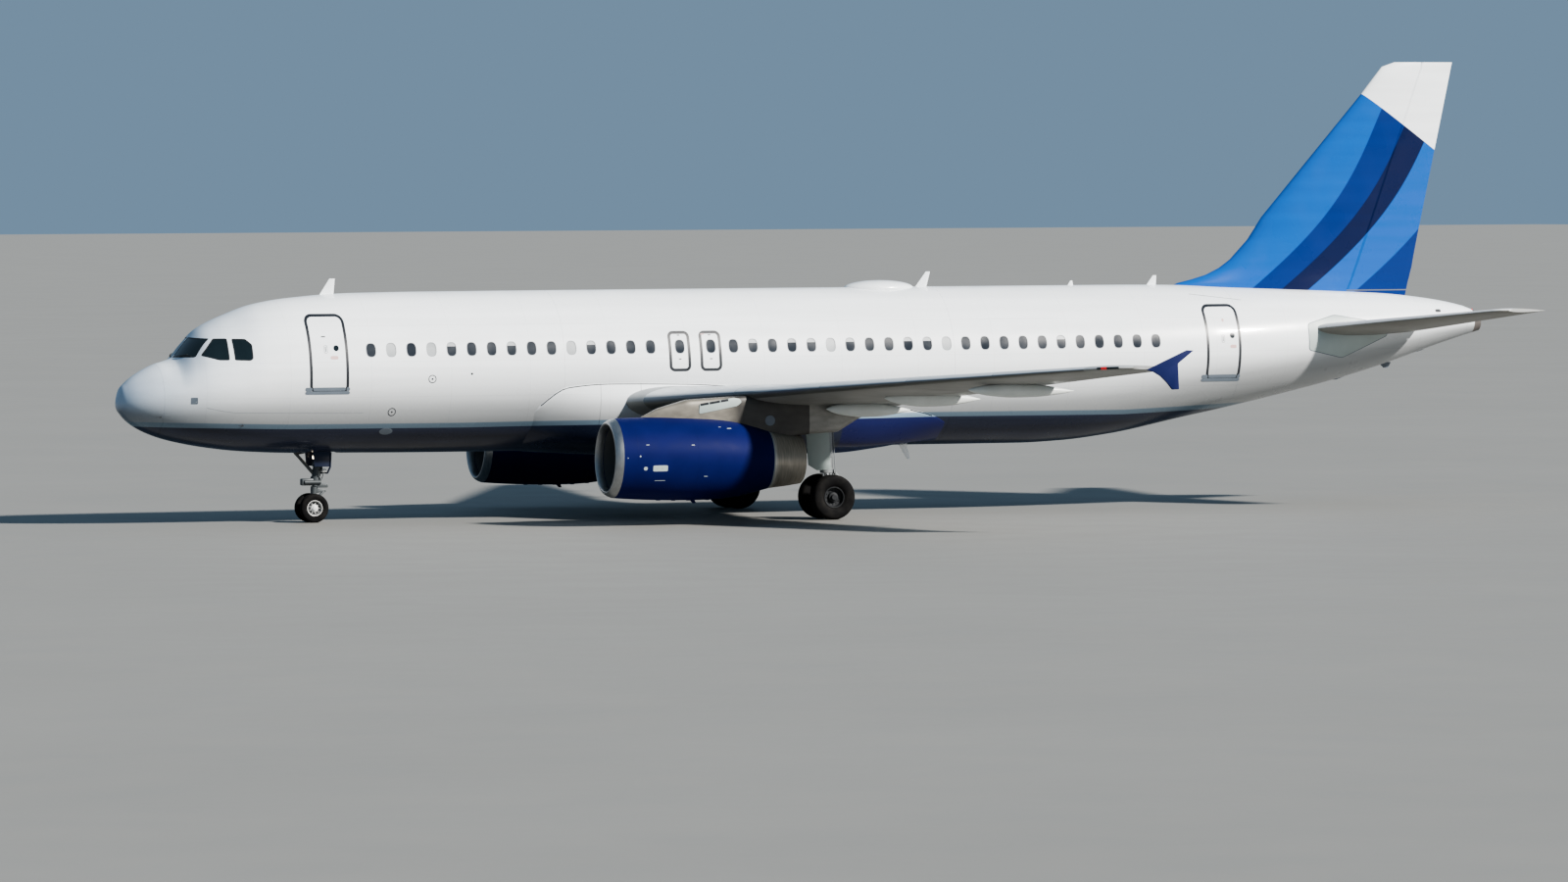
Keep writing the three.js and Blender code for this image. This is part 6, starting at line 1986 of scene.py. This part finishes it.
def build_nose_lamps():
    """Two lamps, one above the other on the front of the leg."""
    shells = []
    lenses = []
    for height in NOSE_LAMP_HEIGHTS:
        matrix = Matrix.Translation(nose_point(height))
        shell = [(-0.128, 0.0), (-0.128, 0.052), (-0.11, 0.055), (-0.06, 0.042), (0.0, 0.035), (0.0, 0)]
        shells.append(lathe("shell", shell, matrix, 32))
        lens = spline([(-0.155, 0), (-0.152, 0.022), (-0.140, 0.040), (-0.126, 0.048)], 4)
        lenses.append(lathe("lens", [*lens, (-0.12, 0.048), (-0.12, 0)], matrix, 32))
    piece(shade(merged("shells", shells)), "nose_lamp_shells", AIRFRAME, "dark_gear")
    piece(shade(merged("lenses", lenses)), "nose_lamp_lenses", AIRFRAME, "lamp")


def build_nose_steered():
    """The turning part of the nose gear: piston, torque link, axle sleeve and tow fitting."""
    body = "nose_gear_steered"
    piece(shade(strut("piston", NOSE_PISTON)), "nose_piston", body, "dark_gear", [body])
    low, high = nose_point(0.52), nose_point(0.825)
    knee = (low.x + KNEE["back"], low.z + KNEE["up"])
    lower = [(low.x + 0.04, low.z - 0.045), (low.x + 0.02, low.z + 0.045)]
    lower += [(knee[0] - 0.02, knee[1] + 0.035), knee]
    upper = [(high.x + 0.03, high.z - 0.085), (high.x + 0.03, high.z + 0.035)]
    upper += [(knee[0], knee[1] + 0.055), knee]
    at = nose_point(NOSE_WHEEL["radius"])
    parts = [
        bevelled(prism("lower", lower, "y", -0.045, 0.045), 0.008),
        bevelled(prism("upper", upper, "y", -0.038, 0.038), 0.008),
        tube("knee", [(knee[0], -0.05, knee[1] + 0.01), (knee[0], 0.05, knee[1] + 0.01)], 0.022, 16),
        strut("foot", NOSE_FOOT),
        tube("sleeve", [(at.x, -0.092, at.z), (at.x, 0.092, at.z)], 0.074, 32),
        bevelled(box("tow", (at.x - 0.13, -0.05, at.z - 0.03), (at.x, 0.05, at.z + 0.03)), 0.008),
    ]
    piece(shade(merged("steered", parts)), "nose_gear_links", body, "dark_gear")


def build_main_leg():
    """The leg of each main gear, with its stay, link, hoses, brakes and door."""
    x, y = x_at(MAIN_WHEEL["station"]), TRACK / 2

    def at(z, back=0.0, across=0.0):
        return (x + back, y + across, z)

    axle = MAIN_WHEEL["radius"]
    leg = tube("leg", [at(z) for z, _ in MAIN_CASING], [r for _, r in MAIN_CASING], 36)
    stay = tube("stay", [at(1.65), at(2.35, -0.12, -1.45)], [0.065, 0.055], 20)
    collar = tube("collar", [at(1.70), at(1.60)], 0.175, 36)
    reach = MAIN_DOOR_OFFSET + 0.015
    links = [tube("link", [at(z), at(z, -0.10, reach)], 0.036, 16) for z in (1.56, 2.25)]
    outline = [(x + back, z) for back, z in MAIN_LINK]
    scissors = bevelled(prism("scissors", outline, "y", y - 0.06, y + 0.06), 0.01)
    knee = tube("knee", [(x + 0.39, y - 0.075, 1.01), (x + 0.39, y + 0.075, 1.01)], 0.03, 16)
    sleeve = tube("sleeve", [at(axle, 0, -0.19), at(axle, 0, 0.19)], 0.1155, 36)
    foot = tube("foot", [at(0.86), at(0.72), at(axle)], [0.105, 0.12, 0.115], 36)
    hoses = []
    for side in (-1, 1):
        points = [at(row["z"], row["back"], side * row["across"]) for row in MAIN_HOSE]
        hoses.append(tube("hose", points, 0.014, 8))
    body = merged("leg", [leg, stay, collar, scissors, knee, sleeve, foot, *links, *hoses])
    both_sides(shade(body), "main_leg_casing", AIRFRAME, "gear", "main_gear_leg")
    piston = tube("piston", [at(1.2), at(0.8)], 0.092, 36)
    both_sides(shade(piston), "main_leg_piston", AIRFRAME, "chrome", None)
    brakes = [tube("brake", [at(axle, 0, s * 0.13), at(axle, 0, s * 0.245)], 0.205, 40) for s in (-1, 1)]
    both_sides(shade(merged("brakes", brakes)), "main_brakes", AIRFRAME, "brake", None)
    door = prism("door", placed(MAIN_DOOR), "y",
                 y + MAIN_DOOR_OFFSET, y + MAIN_DOOR_OFFSET + MAIN_DOOR_THICKNESS)
    both_sides(shade(bevelled(door, 0.01)), "main_leg_door", AIRFRAME, "gear_door", None)


def build_gear():
    build_nose_leg()
    build_nose_steered()
    build_wheels(NOSE_WHEEL, 0, "nose_wheels", ("nose_tyre_left", "nose_tyre_right"), "white_rim", 9)
    build_main_leg()
    for side, label in SIDES:
        tyres = (f"main_tyre_{label}_left", f"main_tyre_{label}_right")
        build_wheels(MAIN_WHEEL, side * TRACK / 2, f"main_wheels_{label}", tyres, "dark_rim", 12)


def build_small_lamps():
    """A red lamp on top of the tail's end."""
    profile = spline([(0, 0.03), (0.02, 0.028), (0.04, 0.018), (0.05, 0)], 4) + [(0, 0)]
    upwards = Matrix.Rotation(-math.pi / 2, 4, "Y")
    lamp = lathe("lamp", profile, Matrix.Translation((x_at(37.40), 0, 5.10)) @ upwards, 24)
    piece(shade(lamp, 50), "tail_lamp", AIRFRAME, "red")


def build_stage():
    floor = box("floor", FLOOR["low"], FLOOR["high"])
    paint = Paint("floor_grey")
    tone = paint.shaded(FLOOR["colour"], paint.noise(0.08, detail=6), 0.96)
    floor.data.materials.append(paint.finish(tone, 0.65, 0.05, 0.5))


def build_lights():
    world = bpy.data.worlds.new("studio")
    world.use_nodes = True
    background = world.node_tree.nodes["Background"]
    background.inputs["Color"].default_value = (*SKY["colour"], 1)
    background.inputs["Strength"].default_value = SKY["strength"]
    bpy.context.scene.world = world
    sun = bpy.data.lights.new("key", "SUN")
    sun.energy = SUN["energy"]
    sun.angle = math.radians(SUN["angle"])
    sun.color = SUN["colour"]
    lamp = bpy.data.objects.new("key", sun)
    lamp.rotation_euler = Vector(SUN["way"]).to_track_quat("-Z", "Y").to_euler()
    bpy.context.scene.collection.objects.link(lamp)


def build_camera():
    yaw, pitch, roll = CAMERA["yaw"], CAMERA["pitch"], CAMERA["roll"]
    ahead = Vector((math.sin(yaw) * math.cos(pitch), math.cos(yaw) * math.cos(pitch), math.sin(pitch)))
    level = Vector((math.cos(yaw), -math.sin(yaw), 0))
    high = level.cross(ahead)
    right = math.cos(roll) * level + math.sin(roll) * high
    up = -math.sin(roll) * level + math.cos(roll) * high
    camera = bpy.data.cameras.new("camera")
    camera.sensor_width = SENSOR
    camera.lens = FOCAL_PIXELS * SENSOR / PICTURE_WIDTH
    camera.clip_start = 1
    camera.clip_end = 3000
    obj = bpy.data.objects.new("camera", camera)
    turn = Matrix((right, up, -ahead)).transposed().to_4x4()
    obj.matrix_world = Matrix.Translation(CAMERA["place"]) @ turn
    bpy.context.scene.collection.objects.link(obj)
    bpy.context.scene.camera = obj
    bpy.context.scene.view_settings.look = "AgX - Medium High Contrast"


build_camera()
build_hull()
build_doors()
build_cargo_doors()
build_windows()
build_cockpit()
build_aerials()
build_skin_marks()
build_satcom()
build_fairing()
build_wing()
build_tail()
build_engine(-1, "left")
build_engine(1, "right")
build_pylons()
build_pylon_panels()
build_cowl_marks()
build_gear()
build_small_lamps()
build_stage()
build_lights()
